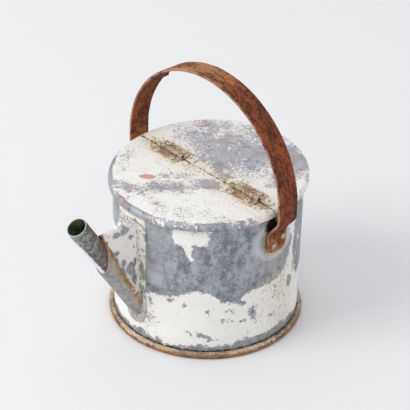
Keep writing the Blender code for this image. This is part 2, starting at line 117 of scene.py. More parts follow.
def skin(name, points, around=False, along=False, holes=None, **marks):
    """A mesh through a grid of points, rows by columns by 3. Columns may close around, and rows along.
    Faces whose four points all lie in holes are left out. Marks become attributes of the points."""
    rows, columns = points.shape[:2]
    row = np.arange(rows if along else rows - 1)[:, None]
    column = np.arange(columns if around else columns - 1)[None, :]
    next_row = (row + 1) % rows
    next_column = (column + 1) % columns
    corners = [row * columns + column, row * columns + next_column]
    corners += [next_row * columns + next_column, next_row * columns + column]
    shape = (row.size, column.size)
    faces = np.stack([np.broadcast_to(corner, shape) for corner in corners], -1).reshape(-1, 4)
    if holes is not None:
        faces = faces[~holes.ravel()[faces].all(1)]
    mesh = bpy.data.meshes.new(name)
    mesh.from_pydata(points.reshape(-1, 3), [], faces)
    for mark, values in marks.items():
        layer = mesh.attributes.new(mark, "FLOAT", "POINT")
        grid = np.broadcast_to(values, (rows, columns)).astype(np.float32)
        layer.data.foreach_set("value", np.ascontiguousarray(grid).ravel())
    body = bmesh.new()
    body.from_mesh(mesh)
    bmesh.ops.remove_doubles(body, verts=body.verts, dist=1e-7)
    loose = [vertex for vertex in body.verts if not vertex.link_faces]
    bmesh.ops.delete(body, geom=loose, context="VERTS")
    body.to_mesh(mesh)
    body.free()
    mesh.shade_smooth()
    mesh.set_sharp_from_angle(angle=SHARP_ANGLE)
    piece = bpy.data.objects.new(name, mesh)
    bpy.context.scene.collection.objects.link(piece)
    return piece


def thickened(piece, thickness, offset):
    """Gives a skin the thickness of its sheet: behind its faces for an offset of -1, before them for 1."""
    sheet = piece.modifiers.new("sheet", "SOLIDIFY")
    sheet.thickness = thickness
    sheet.offset = offset
    sheet.use_even_offset = True


def fitted(piece, finish, body, slot, *nodes):
    """Puts a finish on a piece and says which body carries it and which solids it stands for."""
    piece.data.materials.append(finish)
    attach(piece, body)
    if nodes:
        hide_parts(*nodes)


def ripple(a, b, seed, waves=7):
    """Slow dents over two coordinates in radians: a sum of a few cosines, mostly between -1 and 1."""
    pick = np.random.default_rng(seed)
    total = np.zeros(np.broadcast(a, b).shape)
    for _ in range(waves):
        along, across = pick.integers(1, 7), pick.uniform(-5.0, 5.0)
        total += np.cos(along * a + across * b + pick.uniform(0.0, 6.28))
    return total / math.sqrt(waves)


def bell(distance, width):
    """A soft mark: 1 where the distance is nothing, and exp(-1) where it is as much as the width."""
    return np.exp(-((distance / width) ** 2))


def outline_depth(a, b, outline):
    """Depth inside a closed outline, in the coordinates' own unit: the distance to the nearest side,
    positive inside and negative outside."""
    corners = np.array(outline, float)
    nearest = np.full(np.broadcast(a, b).shape, 1e9)
    inside = np.zeros(nearest.shape, bool)
    for (x0, y0), (x1, y1) in zip(corners, np.roll(corners, -1, 0)):
        dx, dy = x1 - x0, y1 - y0
        share = np.clip(((a - x0) * dx + (b - y0) * dy) / (dx * dx + dy * dy), 0.0, 1.0)
        nearest = np.minimum(nearest, np.hypot(a - x0 - share * dx, b - y0 - share * dy))
        crosses = (y0 > b) != (y1 > b)
        if dy:
            inside ^= crosses & (a < x0 + (b - y0) * dx / dy)
    return np.where(inside, nearest, -nearest)


def spot_depth(a, b, spots):
    """Depth inside the nearest of several round or oval spots given as (a, b, half width, half height)."""
    depth = np.full(np.broadcast(a, b).shape, -1e3)
    for across, up, wide, high in spots:
        reach = np.hypot((a - across) / wide, (b - up) / high)
        depth = np.maximum(depth, (1.0 - reach) * min(wide, high))
    return depth


def lean(points):
    """Turns points laid out on a level cover into the plane of the covers, which falls to the spout:
    (x, y cos f - z sin f, top + y sin f + z cos f), where f is the angle of the fall."""
    across, up = points[..., 1], points[..., 2]
    return np.stack(
        [
            points[..., 0],
            across * math.cos(TOP_FALL) - up * math.sin(TOP_FALL),
            TOP_HEIGHT + across * math.sin(TOP_FALL) + up * math.cos(TOP_FALL),
        ],
        -1,
    )


class Wire:
    """A socket in a material. Arithmetic on it adds Math nodes."""

    def __init__(self, tree, socket):
        self.tree = tree
        self.socket = socket

    def node(self, kind, settings=None, sockets=None, output=0):
        """Adds a node of any kind. Its settings come first, then its sockets get values or links."""
        made = self.tree.nodes.new("ShaderNode" + kind)
        for key, value in (settings or {}).items():
            setattr(made, key, value)
        for key, value in (sockets or {}).items():
            if isinstance(value, Wire):
                self.tree.links.new(value.socket, made.inputs[key])
            else:
                made.inputs[key].default_value = value
        return Wire(self.tree, made.outputs[output])

    def maths(self, operation, first, second):
        """A Math node on two sockets or numbers."""
        return self.node("Math", {"operation": operation}, {0: first, 1: second})

    def stretched(self, x, y, z):
        """This place scaled along its three axes, so that noise on it runs in streaks."""
        return self.node("VectorMath", {"operation": "MULTIPLY"}, {0: self, 1: (x, y, z)})

    def __add__(self, other):
        return self.maths("ADD", self, other)

    __radd__ = __add__

    def __sub__(self, other):
        return self.maths("SUBTRACT", self, other)

    def __rsub__(self, other):
        return self.maths("SUBTRACT", other, self)

    def __mul__(self, other):
        return self.maths("MULTIPLY", self, other)

    __rmul__ = __mul__

    def most(self, other):
        """The larger of two values."""
        return self.maths("MAXIMUM", self, other)

    def noise(self, scale, detail, roughness, shift=0.0):
        """Cloudy noise over this place, between 0 and 1 and mostly near a half."""
        place = self.node("VectorMath", {"operation": "ADD"}, {0: self, 1: (shift,) * 3})
        return self.node(
            "TexNoise",
            {},
            {"Vector": place, "Scale": scale, "Detail": detail, "Roughness": roughness},
        )

    def step(self, low, high):
        """A smooth step from 0 at low to 1 at high."""
        return self.node(
            "MapRange",
            {"interpolation_type": "SMOOTHSTEP"},
            {"Value": self, "From Min": low, "From Max": high},
        )

    def tint(self, none, full):
        """A colour that goes from none to full as this value goes from 0 to 1."""
        ends = [c if isinstance(c, Wire) else (*c, 1.0) for c in (none, full)]
        return self.node("Mix", {"data_type": "RGBA"}, {0: self, 6: ends[0], 7: ends[1]}, 2)

    def mark(self, name):
        """One of the piece's own attributes."""
        return self.node("Attribute", {"attribute_name": name}, {}, 2)


def finish(name):
    """A new material: the material, its place in object coordinates, and its shader."""
    material = bpy.data.materials.new(name)
    material.use_nodes = True
    shader = material.node_tree.nodes["Principled BSDF"]
    coordinates = material.node_tree.nodes.new("ShaderNodeTexCoord")
    return material, Wire(material.node_tree, coordinates.outputs["Object"]), shader


def surface(shader, colour, roughness, height, relief, specular=0.5):
    """Joins colour, roughness and a bump of the given relief in metres to a shader."""
    bump = colour.node("Bump", {}, {"Height": height, "Distance": relief, "Strength": 1.0})
    colour.tree.links.new(colour.socket, shader.inputs["Base Color"])
    colour.tree.links.new(roughness.socket, shader.inputs["Roughness"])
    colour.tree.links.new(bump.socket, shader.inputs["Normal"])
    shader.inputs["Specular IOR Level"].default_value = specular


def layered(colour, *layers):
    """A colour under layers of (share, tone), one over the other."""
    for share, tone in layers:
        colour = share.tint(colour, tone)
    return colour


def flaked_paint(name, specks, dark_zinc, pale_zinc):
    """Brittle off-white paint over zinc. Marks: bare is the depth in mm inside a patch that has lost its
    paint, thin the share by which paint is worn to a speckle, stain how ochre, rust how brown, grime how
    black a place is from dirt and from painted shade in gaps under and beside other parts, haze how milky
    its zinc, and primer where the salmon undercoat shows. Specks is the height of the noise above which a
    speck of paint is gone, so more of it means fewer specks."""
    material, place, shader = finish(name)
    slow = place.noise(36.0, 5.0, 0.6)
    warm = place.noise(60.0, 4.0, 0.6, 9.3)
    middle = place.noise(150.0, 6.0, 0.66, 3.1)
    fine = place.noise(390.0, 4.0, 0.72, 7.7)
    grain = place.noise(1150.0, 2.0, 0.5, 4.2)
    brushed = place.stretched(1.0, 1.0, 0.45).noise(105.0, 6.0, 0.68, 1.7)
    bare, thin, stain, rust, grime, haze, primer = (
        place.mark(mark) for mark in ("bare", "thin", "stain", "rust", "grime", "haze", "primer")
    )

    ragged = bare + (slow - 0.5) * 12.0 + (middle - 0.5) * 18.0 + (fine - 0.5) * 10.0
    lost = ragged.step(-0.35, 0.35)
    crumbs = middle * 0.3 + fine * 0.7
    thin = thin * ((slow - 0.5) * 1.8 + 1.0)
    pitted = (crumbs + thin * 0.27 + (warm - 0.5) * 0.10).step(specks, specks + 0.012)
    left_on = (fine * 0.6 + slow * 0.4 - ragged.step(2.0, 9.0) * 0.05).step(0.625, 0.645)
    open_metal = lost.most(pitted) * (1.0 - left_on * (1.0 - pitted))
    undercoat = (ragged.step(-1.8, -0.5) * warm.step(0.48, 0.60)).most(
        (crumbs + thin * 0.27).step(specks - 0.03, specks - 0.005) * 0.6
    )

    clouds = brushed * 0.40 + middle * 0.30 + fine * 0.30
    zinc = layered(
        clouds.step(0.425, 0.575).tint(dark_zinc, pale_zinc),
        (warm.step(0.52, 0.68) * 0.45, (0.33, 0.30, 0.26)),
        ((fine * 0.5 + slow * 0.5).step(0.56, 0.62) * 0.35, (0.12, 0.12, 0.13)),
        (slow.step(0.54, 0.70) * 0.30 + haze * 0.75, (0.60, 0.61, 0.67)),
    )
    paint = layered(
        (0.845, 0.835, 0.80),
        (slow.step(0.45, 0.75) * 0.4, (0.75, 0.73, 0.69)),
        (thin.step(0.15, 0.95) * 0.38, (0.62, 0.60, 0.65)),
        (undercoat * 0.55, (0.47, 0.38, 0.34)),
    )
    pepper = place.noise(700.0, 2.0, 0.5, 5.5).step(0.655, 0.685) * thin.step(0.04, 0.16)
    salmon = (primer + (fine - 0.5) * 1.2).step(0.40, 0.70) * primer.step(0.02, 0.2)
    seeped = (crumbs + stain * 0.155 + (warm - 0.5) * 0.2).step(0.61, 0.64) * stain.step(0.04, 0.2)
    flaking = (middle - 0.5) * 1.6 * rust.step(0.02, 0.3)
    rusted = (rust + flaking + (fine - 0.5) * 0.8).step(0.40, 0.70)
    # Near black where the grime mark is high: dirt, and painted shade in gaps under and beside other parts.
    dirt_and_shade = (grime + (middle - 0.5) * 1.3 + (fine - 0.5) * 0.7).step(0.45, 0.75) * grime.step(0.02, 0.2)
    colour = layered(
        open_metal.tint(paint, zinc),
        (warm.step(0.50, 0.62) * thin.step(0.15, 0.7) * 0.30, (0.50, 0.35, 0.32)),
        (pepper * 0.85, (0.15, 0.125, 0.12)),
        (salmon * 0.9, (0.59, 0.275, 0.205)),
        (stain * 0.52, (0.60, 0.53, 0.31)),
        (seeped * 0.85, grain.step(0.35, 0.65).tint((0.19, 0.125, 0.055), (0.50, 0.37, 0.17))),
        (rusted, fine.step(0.38, 0.62).tint((0.115, 0.05, 0.025), (0.44, 0.20, 0.07))),
        (dirt_and_shade, (0.035, 0.028, 0.020)),
    )

    roughness = open_metal * -0.14 + 0.64 + (fine - 0.5) * 0.25
    height = (1.0 - open_metal) * 0.55 + middle * 0.2 + fine * 0.25 + dirt_and_shade * 0.2
    surface(shader, colour, roughness, height, 0.00026, 0.35)
    metal = open_metal * 0.30 * (1.0 - rusted)
    place.tree.links.new(metal.socket, shader.inputs["Metallic"])
    return material


# Outlines and spots on the wall: the angle from the spout towards the right-hand foot of the handle in
# degrees, the height in mm, and for a spot half its width and half its height in mm.
BARE_FIELD = (
    (8, 170), (26, 170), (47, 172), (57, 172), (76, 172), (93, 165), (107, 116), (102, 96),
    (97, 82), (82, 77), (71, 77), (67, 66), (58, 68), (52, 78), (43, 83), (33, 79),
    (28, 71), (17, 68), (8, 67),
)  # fmt: skip
PAINT_LEFT_IN_FIELD = (
    (27, 172), (27, 134), (34, 135), (35.5, 117), (39, 117), (39.5, 136), (47, 139), (49, 172),
)  # fmt: skip
BARE_SPOTS = (
    (64, 81, 5, 3), (68, 65, 2.5, 2), (76, 49, 4, 7), (61, 56, 2.5, 1.5), (59, 45, 3, 1.2),
    (63, 43, 4, 1.2), (68, 41, 3.5, 1.6), (91, 37, 2.5, 2), (43, 28, 5, 1.8), (47, 26, 5, 2),
    (51, 22, 3, 1.5), (25, 66, 2, 1.5), (33, 63, 1.5, 1.5), (48, 56, 1.5, 1.2), (78, 37, 2, 3),
    (107, 64, 5, 8), (113, 100, 5, 30), (12, 60, 2, 4), (-46, 40, 3, 2), (-100, 52, 2, 4),
    (-128, 44, 5, 2), (166, 48, 3, 3), (144, 62, 2, 2), (128, 36, 4, 2),
)  # fmt: skip
# The sides that the photograph doesn't show have lost their paint in fields of the same kind.
FAR_FIELDS = (
    ((-76, 172), (-74, 146), (-64, 128), (-66, 104), (-56, 92), (-47, 98), (-40, 114), (-22, 117),
     (-17, 140), (-19, 158), (-18, 172)),
    ((-172, 130), (-158, 148), (-146, 140), (-130, 152), (-116, 150), (-108, 132), (-96, 128),
     (-88, 106), (-94, 84), (-106, 86), (-112, 70), (-124, 74), (-134, 92), (-146, 88),
     (-152, 66), (-164, 60), (-168, 84), (-178, 96)),
    ((116, 172), (124, 148), (138, 150), (150, 160), (166, 152), (172, 128), (164, 108),
     (152, 112), (146, 92), (134, 84), (128, 66), (118, 62), (114, 84), (119, 108), (112, 130),
     (111, 158)),
)  # fmt: skip
# Places with thin paint: angle in degrees, height in mm, half width in degrees, half height in mm, share.
THIN_PAINT = (
    (-16, 128, 12, 40, 0.45), (50, 158, 60, 7, 0.7), (97, 55, 22, 60, 0.30), (5, 40, 14, 22, 0.5),
    (-150, 90, 60, 60, 0.45),
)  # fmt: skip
# Height in mm up to which the paint has left the foot of the wall, by angle in degrees.
FOOT_BAND_ANGLES = (-180, -60, 0, 30, 60, 90, 120, 180)
FOOT_BAND_HEIGHTS = (13, 14, 13, 11, 14, 18, 15, 13)


def wall_skin():
    """The cylinder (r sin t, -r cos t, z), where t is the turn from the spout and r is the wall's radius,
    less small dents and more on the lap. Rows rise from the foot to a rim that falls to the spout, and
    then follow the rim's curl. Points in the spout's hole, an oval round the pipe's axis, move out to
    its edge. Gives the points and which of them lie in the hole."""
    turn = np.linspace(-math.pi, math.pi, 451)[:-1]
    lap_edges = [side * (LAP_HALF_WIDTH + step) / WALL_RADIUS for side in (-1, 1) for step in (0.0, 0.0002)]
    lap_edges = [math.pi + edge if edge < 0 else edge - math.pi for edge in lap_edges]
    turn = np.sort(np.concatenate([turn, lap_edges]))
    share = np.linspace(0.0, 1.0, 100)[:, None]
    top = TOP_HEIGHT - WALL_RADIUS * np.cos(turn) * math.tan(TOP_FALL) - RIM_DROP
    height = WALL_FOOT + (top - WALL_FOOT) * share
    lapped = np.abs(np.abs(turn) - math.pi) * WALL_RADIUS <= LAP_HALF_WIDTH + 1e-6
    dents = ripple(turn[None, :], height / 0.05, 4) * 0.00022 * np.sin(math.pi * share)
    radius = WALL_RADIUS + np.minimum(dents, 0.0) + LAP_RISE * lapped * (share < 0.985)
    straight = np.stack([radius * np.sin(turn), -radius * np.cos(turn), height], -1)
    curl_turn = np.radians(np.linspace(90.0, 0.0, 7))[:, None]
    curl_reach = CURL_CENTRE[0] + CURL_RADIUS * np.cos(curl_turn) + 0.0 * turn
    curl_rise = CURL_CENTRE[1] + CURL_RADIUS * np.sin(curl_turn) + 0.0 * turn
    curled = lean(np.stack([curl_reach * np.sin(turn), -curl_reach * np.cos(turn), curl_rise], -1))
    x, y, z = np.moveaxis(np.concatenate([straight, curled]), -1, 0)
    axis = PIPE_ROOT[1] + (-y - WALL_RADIUS) * math.tan(PIPE_ANGLE)
    from_axis = (z - axis) * math.cos(PIPE_ANGLE)
    from_edge = np.maximum(np.hypot(x, from_axis) / HOLE_RADIUS, 1e-3)
    hole = (from_edge < 1.0) & (y < 0.0)
    pushed = np.where(hole, 1.0 / from_edge, 1.0)
    x = x * pushed
    y = np.where(hole, -np.sqrt(WALL_RADIUS**2 - np.minimum(x**2, 0.001)), y)
    return np.stack([x, y, axis + (z - axis) * pushed], -1), hole


wall_points, pipe_hole = wall_skin()
degrees = np.degrees(np.arctan2(wall_points[..., 0], -wall_points[..., 1]))
rise = wall_points[..., 2] * 1000.0
arc_mm = math.radians(1.0) * WALL_RADIUS * 1000.0
girth = degrees * arc_mm


def on_girth(places):
    """Takes places from degrees round the wall to mm round it."""
    return [(angle * arc_mm, *rest) for angle, *rest in places]


field = outline_depth(girth, rise, on_girth(BARE_FIELD))
field = np.minimum(field, 2.0 + (157.0 - rise) * 0.5)
island = outline_depth(girth, rise, on_girth(PAINT_LEFT_IN_FIELD))
spots = spot_depth(girth, rise, on_girth(BARE_SPOTS))
for far in FAR_FIELDS:
    spots = np.maximum(spots, outline_depth(girth, rise, on_girth(far)))
foot_band = np.interp(degrees, FOOT_BAND_ANGLES, FOOT_BAND_HEIGHTS) - rise
foot_band = foot_band + 1.5 * np.sin(girth / 9.0) + 1.0 * np.sin(girth / 3.7)
thin = np.full(rise.shape, 0.08)
for angle, up, wide, high, worn in THIN_PAINT:
    thin = np.maximum(thin, worn * bell(degrees - angle, wide) * bell(rise - up, high))
from_foot = np.hypot((girth - 90 * arc_mm) * 0.9, rise - 131.0)
tank_wall = skin(
    "painted_wall",
    wall_points,
    around=True,
    holes=pipe_hole,
    bare=np.maximum.reduce([np.minimum(field, -island), spots, foot_band]),
    thin=thin,
    stain=0.44 * bell(degrees - 96, 17) * bell(rise - 65, 50)
    + 0.15 * bell(rise - 7, 5)
    + 0.5 * bell(from_foot - 15, 5),
    rust=0.5 * bell(rise - 5, 4) + 0.65 * bell(from_foot - 13, 3) * (rise < 128),
    # Dark dirt along the foot of the wall, and painted shade on the wall in the gap under the step of the
    # right handle foot.
    grime=0.55 * bell(rise - 6.5, 1.6)
    + 0.40 * bell(rise - 9.5, 4)
    + 1.1 * bell(degrees - 87, 5.5) * bell(rise - 148, 13),
    haze=bell(from_foot - 21, 4.5)
    + 0.5 * bell(rise - 160, 5)
    + 0.4 * bell(degrees - 16, 12) * (rise > 80)
    + 0.8 * bell(degrees + 38, 12) * (rise > 90),
)
thickened(tank_wall, SHEET, -1.0)
wall_paint = flaked_paint("flaked_wall_paint", 0.650, (0.15, 0.16, 0.185), (0.39, 0.41, 0.45))
fitted(tank_wall, wall_paint, "can", "flaked_white_paint", "tank_wall")

# Base
# A round sheet whose edge is folded over the foot of the wall in a double seam. The fold stands
# proud all round, and its lower edge, which sits in the wet, has rusted orange and brown.

SEAM_RADIUS = 0.1053
SEAM_HEIGHT = 0.0065
SEAM_INSIDE = 0.1003
SEAM_ROUND = 0.0018


def rust_on(name, dark, bright, crust, pits=0.0002):
    """Old rust: dark scale, brown and orange dust, with a pitted surface. The mark rust is how much of
    it there is over stained zinc, and pale how much crust of old paint still covers it."""
    material, place, shader = finish(name)
    slow = place.noise(55.0, 5.0, 0.6)
    middle = place.noise(240.0, 6.0, 0.65, 2.3)
    fine = place.noise(800.0, 4.0, 0.65, 5.1)
    rust = place.mark("rust") + (slow - 0.5) * 1.2 + (middle - 0.5) * 1.6 + (fine - 0.5) * 0.8
    rust = rust.step(0.4, 0.6)
    pale = place.mark("pale") + (slow - 0.5) * 1.4 + (middle - 0.5) * 1.8 + (fine - 0.5) * 1.3
    pale = pale.step(0.48, 0.58)
    scale = (slow * 0.4 + middle * 0.6).step(0.40, 0.60).tint(dark, bright)
    scale = (fine.step(0.54, 0.66) * 0.7).tint(scale, (0.075, 0.038, 0.022))
    zinc = middle.step(0.38, 0.62).tint((0.21, 0.155, 0.105), (0.46, 0.385, 0.30))
    yellowed = [channel * share for channel, share in zip(crust, (0.72, 0.60, 0.46))]
    covered = (fine * 0.5 + slow * 0.5).step(0.46, 0.56).tint(crust, yellowed)
    colour = pale.tint(rust.tint(zinc, scale), covered)
    colour = ((middle * 0.4 + fine * 0.6).step(0.540, 0.580) * 0.80).tint(colour, (0.085, 0.050, 0.030))
    roughness = 0.66 + (fine - 0.5) * 0.3
    surface(shader, colour, roughness, middle * 0.6 + fine * 0.5 + pale * 0.3, pits, 0.25)
    return material


def base_profile():
    """Radii and heights round a section of the base: out over the floor, up the inside of the seam,
    round its outer edge on a squarish half round, and back in under the floor."""
    fold_turn = np.radians(np.linspace(90.0, -90.0, 13))
    fold_middle = SEAM_RADIUS - SEAM_ROUND
    half = SEAM_HEIGHT / 2
    squared = np.sign(np.sin(fold_turn)) * np.abs(np.sin(fold_turn)) ** 0.8
    return np.concatenate(
        [
            [[0.0, SHEET], [0.0600, SHEET], [SEAM_INSIDE, SHEET], [SEAM_INSIDE, SEAM_HEIGHT - 0.0004]],
            [[SEAM_INSIDE + 0.0004, SEAM_HEIGHT], [SEAM_INSIDE + 0.0016, SEAM_HEIGHT]],
            np.stack([fold_middle + SEAM_ROUND * np.cos(fold_turn), half + half * squared], -1),
            [[0.1000, 0.0], [0.0600, 0.0], [0.0, 0.0]],
        ]
    )


profile = base_profile()[::-1]
turn = np.linspace(-math.pi, math.pi, 361)[:-1]
reach = profile[:, :1] + 0.0 * turn
level = profile[:, 1:] + 0.0 * turn
buckle = ripple(turn[None, :], reach * 40, 9, 12) * 0.00025 * (reach > 0.103)
buckled = reach + np.minimum(buckle, 0.0)
high = level / SEAM_HEIGHT
crusted = high * 0.95 - 0.35 + 0.16 * np.sin(turn * 5.0 + 1.0) + 0.12 * bell(turn + 0.4, 0.5)
base = skin(
    "seamed_base",
    np.stack([buckled * np.sin(turn), -buckled * np.cos(turn), level], -1),
    around=True,
    rust=np.clip(1.25 - 0.70 * high + 0.12 * np.sin(turn * 4.0 + 2.0), 0.0, 1.0),
    pale=np.clip(crusted, 0.0, 1.0) * (reach > 0.1),
)
base_rust = rust_on("rusty_seam", (0.12, 0.060, 0.030), (0.43, 0.23, 0.10), (0.72, 0.63, 0.49))
fitted(base, base_rust, "can", "weathered_zinc", "tank_base")

# Covers
# Two half-moons of sheet with a rounded shoulder and a short lip that grips the rim. The one over
# the spout is fixed and has its straight edge folded down. The other is the filling lid.

COVER_RADIUS = 0.1048
SHOULDER = 0.0045
LIP = 0.0068
HINGE_LINE_Y = -0.0055
HALF_SPLIT = 0.0005
FOLD_DEPTH = 0.0060

# Worn places on the covers: middle, half width and half length in mm, turn in degrees, and how worn.
FRONT_WORN = (
    (-38, -84, 30, 8, 20, 0.60), (-6, -55, 28, 11, 42, 0.54), (20, -22, 17, 10, 40, 0.64),
    (0, -80, 34, 6, -6, 0.35), (-14, -32, 20, 6, 45, 0.45), (-76, -48, 26, 7, -52, 0.38),
    (60, -62, 40, 10, 30, 0.25), (70, -20, 20, 10, 0, 0.20),
)  # fmt: skip
LID_WORN = (
    (-4, 42, 42, 30, 20, 0.80), (8, 12, 26, 12, -30, 0.70), (-12, 84, 30, 10, 6, 0.50),
    (48, 78, 34, 13, -40, 0.66), (-55, 45, 24, 34, 20, 0.50), (66, 50, 14, 30, 20, 0.60),
    (-74, 30, 14, 34, 20, 0.35), (40, 30, 16, 26, 0, 0.35),
)  # fmt: skip
# Outline in mm of the chip on the front cover where the salmon undercoat shows.
SALMON_CHIP = ((-42, -60), (-39, -53), (-33, -49), (-27, -48), (-27, -53), (-31, -58), (-37, -61))


def worn_share(x, y, places):
    """How worn a cover is: the most of several soft oval clouds, each turned on the cover."""
    share = np.zeros(x.shape)
    for across, along, wide, long, angle, worn in places:
        cosine, sine = math.cos(math.radians(angle)), math.sin(math.radians(angle))
        off_wide = (x - across) * cosine + (y - along) * sine
        off_long = (y - along) * cosine - (x - across) * sine
        share = np.maximum(share, worn / (1.0 + (off_wide / wide) ** 4 + (off_long / long) ** 4))
    return share


def half_cover(side):
    """A half-moon cover laid out level, by rays from the middle of its straight edge, where y is e: the
    flat runs out along each ray, then the shoulder's quarter round and the lip follow. A ray aimed at
    (cos a, sin a) meets the radius r after sqrt((e sin a)^2 + r^2 - e^2) - e sin a."""
    edge = HINGE_LINE_Y + side * HALF_SPLIT
    ray = np.linspace(0.0, math.pi, 261)
    aim_x, aim_y = np.cos(ray), side * np.sin(ray)
    bend = np.radians(np.linspace(90.0, 0.0, 9))
    rounded = COVER_RADIUS - SHOULDER + SHOULDER * np.cos(bend)
    radii = np.concatenate([rounded, [COVER_RADIUS] * 3])
    drops = np.concatenate([SHOULDER * np.sin(bend) - SHOULDER, -np.linspace(0.0053, LIP, 3)])
    inward = edge * aim_y
    reach = -inward + np.sqrt(inward**2 + radii[:, None] ** 2 - edge**2)
    flat = reach[0] * np.linspace(0.0, 1.0, 64)[:-1, None]
    reach = np.concatenate([flat, reach])
    drop = np.concatenate([np.zeros(63), drops])[:, None] + 0.0 * ray
    level = np.stack([reach * aim_x, edge + reach * aim_y, drop], -1)
    hollow = ripple(level[..., 0] * 28, level[..., 1] * 28, 21 + side) * 0.00018
    calm = np.clip(np.abs(level[..., 1] - edge) / 0.03, 0, 1)
    level[..., 2] += np.minimum(hollow, 0.0) * calm * (drop == 0.0)
    return level


def cover_marks(level, worn_places):
    """Marks for a cover: worn clouds, a worn lip, ochre seep and rust along the seam, dirt in the seam,
    a painted shadow beside the right end of each hinge, the salmon chip and a thin salmon ring."""
    x, y = level[..., 0] * 1000, level[..., 1] * 1000
    radius = np.hypot(x, y)
    turn = np.arctan2(y, x)
    front = np.clip(-np.sin(turn) * 1.6, 0.25, 1.0)
    patchy = 0.64 + 0.22 * np.sin(turn * 7) + 0.14 * np.sin(turn * 17 + 1)
    lip = np.clip((radius - 98.6) / 2.6, 0.0, 1.0) * patchy
    low_lip = np.clip((-0.0032 - level[..., 2]) / 0.0015, 0.0, 1.0)
    from_seam = np.abs(y - HINGE_LINE_Y * 1000)
    near_hinge = bell(x + 55, 27) + bell(x - 65, 28) + 0.45
    # Painted shadow: a dark strip just past the right end of each hinge, where the hinge would cast its
    # shadow.
    hinge_end_shadows = bell(x + 32, 0.8) + bell(x - 82, 0.8)
    chip = outline_depth(x, y, SALMON_CHIP)
    ring = 1.2 - np.abs(np.hypot((x + 11) / 1.2, y - 51) - 4.0)
    return {
        "bare": lip * 9.5 * front - 4.0 + low_lip,
        "thin": np.maximum(worn_share(x, y, worn_places), lip * 0.85 * front) + 0.10,
        "stain": np.clip(near_hinge, 0.0, 1.0) * bell(from_seam, 13.0),
        "rust": 0.52 * bell(from_seam, 2.0) + 0.30 * (level[..., 2] < -0.0062),
        # Dirt in the seam, and the painted shadows at the hinges' right ends.
        "grime": 0.95 * bell(from_seam, 0.8) + hinge_end_shadows * (from_seam < 8.0),
        "haze": 0.26 * np.clip(1.0 - 1.6 * lip, 0.0, 1.0),
        "primer": np.clip(np.maximum(chip * 0.8 + 0.6, ring * 0.4), 0.0, 1.0),
    }


cover_paint = flaked_paint("flaked_cover_paint", 0.645, (0.20, 0.21, 0.25), (0.44, 0.45, 0.50))
for side, name, body, node, worn_places in (
    (-1, "painted_front_cover", "can", "front_cover", FRONT_WORN),
    (1, "painted_lid", "lid", "rear_lid", LID_WORN),
):
    level = half_cover(side)
    # The lid's columns run the other way round, so they are turned to keep its faces upward.
    if side > 0:
        level = level[:, ::-1]
    cover = skin(name, lean(level), **cover_marks(level, worn_places))
    thickened(cover, SHEET, -1.0)
    fitted(cover, cover_paint, body, "flaked_white_paint", node)

# The front cover's straight edge is folded down under the hinge line.
fold_x = np.linspace(-0.097, 0.097, 120)[None, :]
fold_z = np.linspace(-FOLD_DEPTH, -SHEET * 0.5, 6)[:, None]
fold = np.stack(
    [fold_x + 0.0 * fold_z, np.full((6, 120), HINGE_LINE_Y - HALF_SPLIT), fold_z + 0.0 * fold_x], -1
)
edge_fold = skin("front_cover_fold", lean(fold[::-1]), bare=-4.0, thin=0.3, stain=0.6, rust=0.4, grime=0.3)
thickened(edge_fold, SHEET, -1.0)
fitted(edge_fold, cover_paint, "can", "flaked_white_paint")

# Spout pipe
# A length of half-inch pipe, mitred to the inside of the wall. Its skin is dark brown with a grey
# green bloom that turns to verdigris at the mouth, and old paint has run along its underside.

PIPE_RADIUS = 0.0107
PIPE_BORE = 0.0096
PIPE_REACH = 0.0743
PIPE_RISE = 0.118
PIPE_END_INSIDE = 0.0978


def pipe_skin():
    """A tube round a straight axis. Each line along it starts where it meets the wall's inner cylinder,
    runs out to the mouth, turns over the rim on a small round and comes back down the bore. A point at
    the turn t and the distance s along is (r sin t, y0 - s cos a + r cos t sin a, z0 + s sin a +
    r cos t cos a), where a is the pipe's angle."""
    turn = np.linspace(0.0, 2.0 * math.pi, 97)[:-1]
    lip = (PIPE_RADIUS - PIPE_BORE) / 2
    neck = PIPE_REACH / math.cos(PIPE_ANGLE) - lip
    over = np.radians(np.linspace(0.0, 180.0, 9))
    wobble = 0.00005 * (np.cos(2 * turn + 0.6) - 1.0)

    def ring(radius, along):
        up = radius * np.cos(turn)
        y = PIPE_ROOT[0] - along * math.cos(PIPE_ANGLE) + up * math.sin(PIPE_ANGLE)
        z = PIPE_ROOT[1] + along * math.sin(PIPE_ANGLE) + up * math.cos(PIPE_ANGLE)
        return np.stack([radius * np.sin(turn), y, z], -1)

    def side(radius, dent, steps):
        across, up = radius * np.sin(turn), radius * np.cos(turn)
        root = PIPE_ROOT[0] + up * math.sin(PIPE_ANGLE) + np.sqrt(PIPE_END_INSIDE**2 - across**2)
        root = root / math.cos(PIPE_ANGLE)
        return [ring(radius + dent * step, root * (1 - step) + neck * step) for step in steps]

    steps = np.linspace(0.0, 1.0, 40)
    outside = side(PIPE_RADIUS, wobble, steps)
    rim = [ring(PIPE_BORE + lip + lip * math.cos(a) + wobble, neck + lip * math.sin(a)) for a in over]
    inside = side(PIPE_BORE, 0.0, steps[::-1])
    return np.array(outside + rim[1:-1] + inside), turn


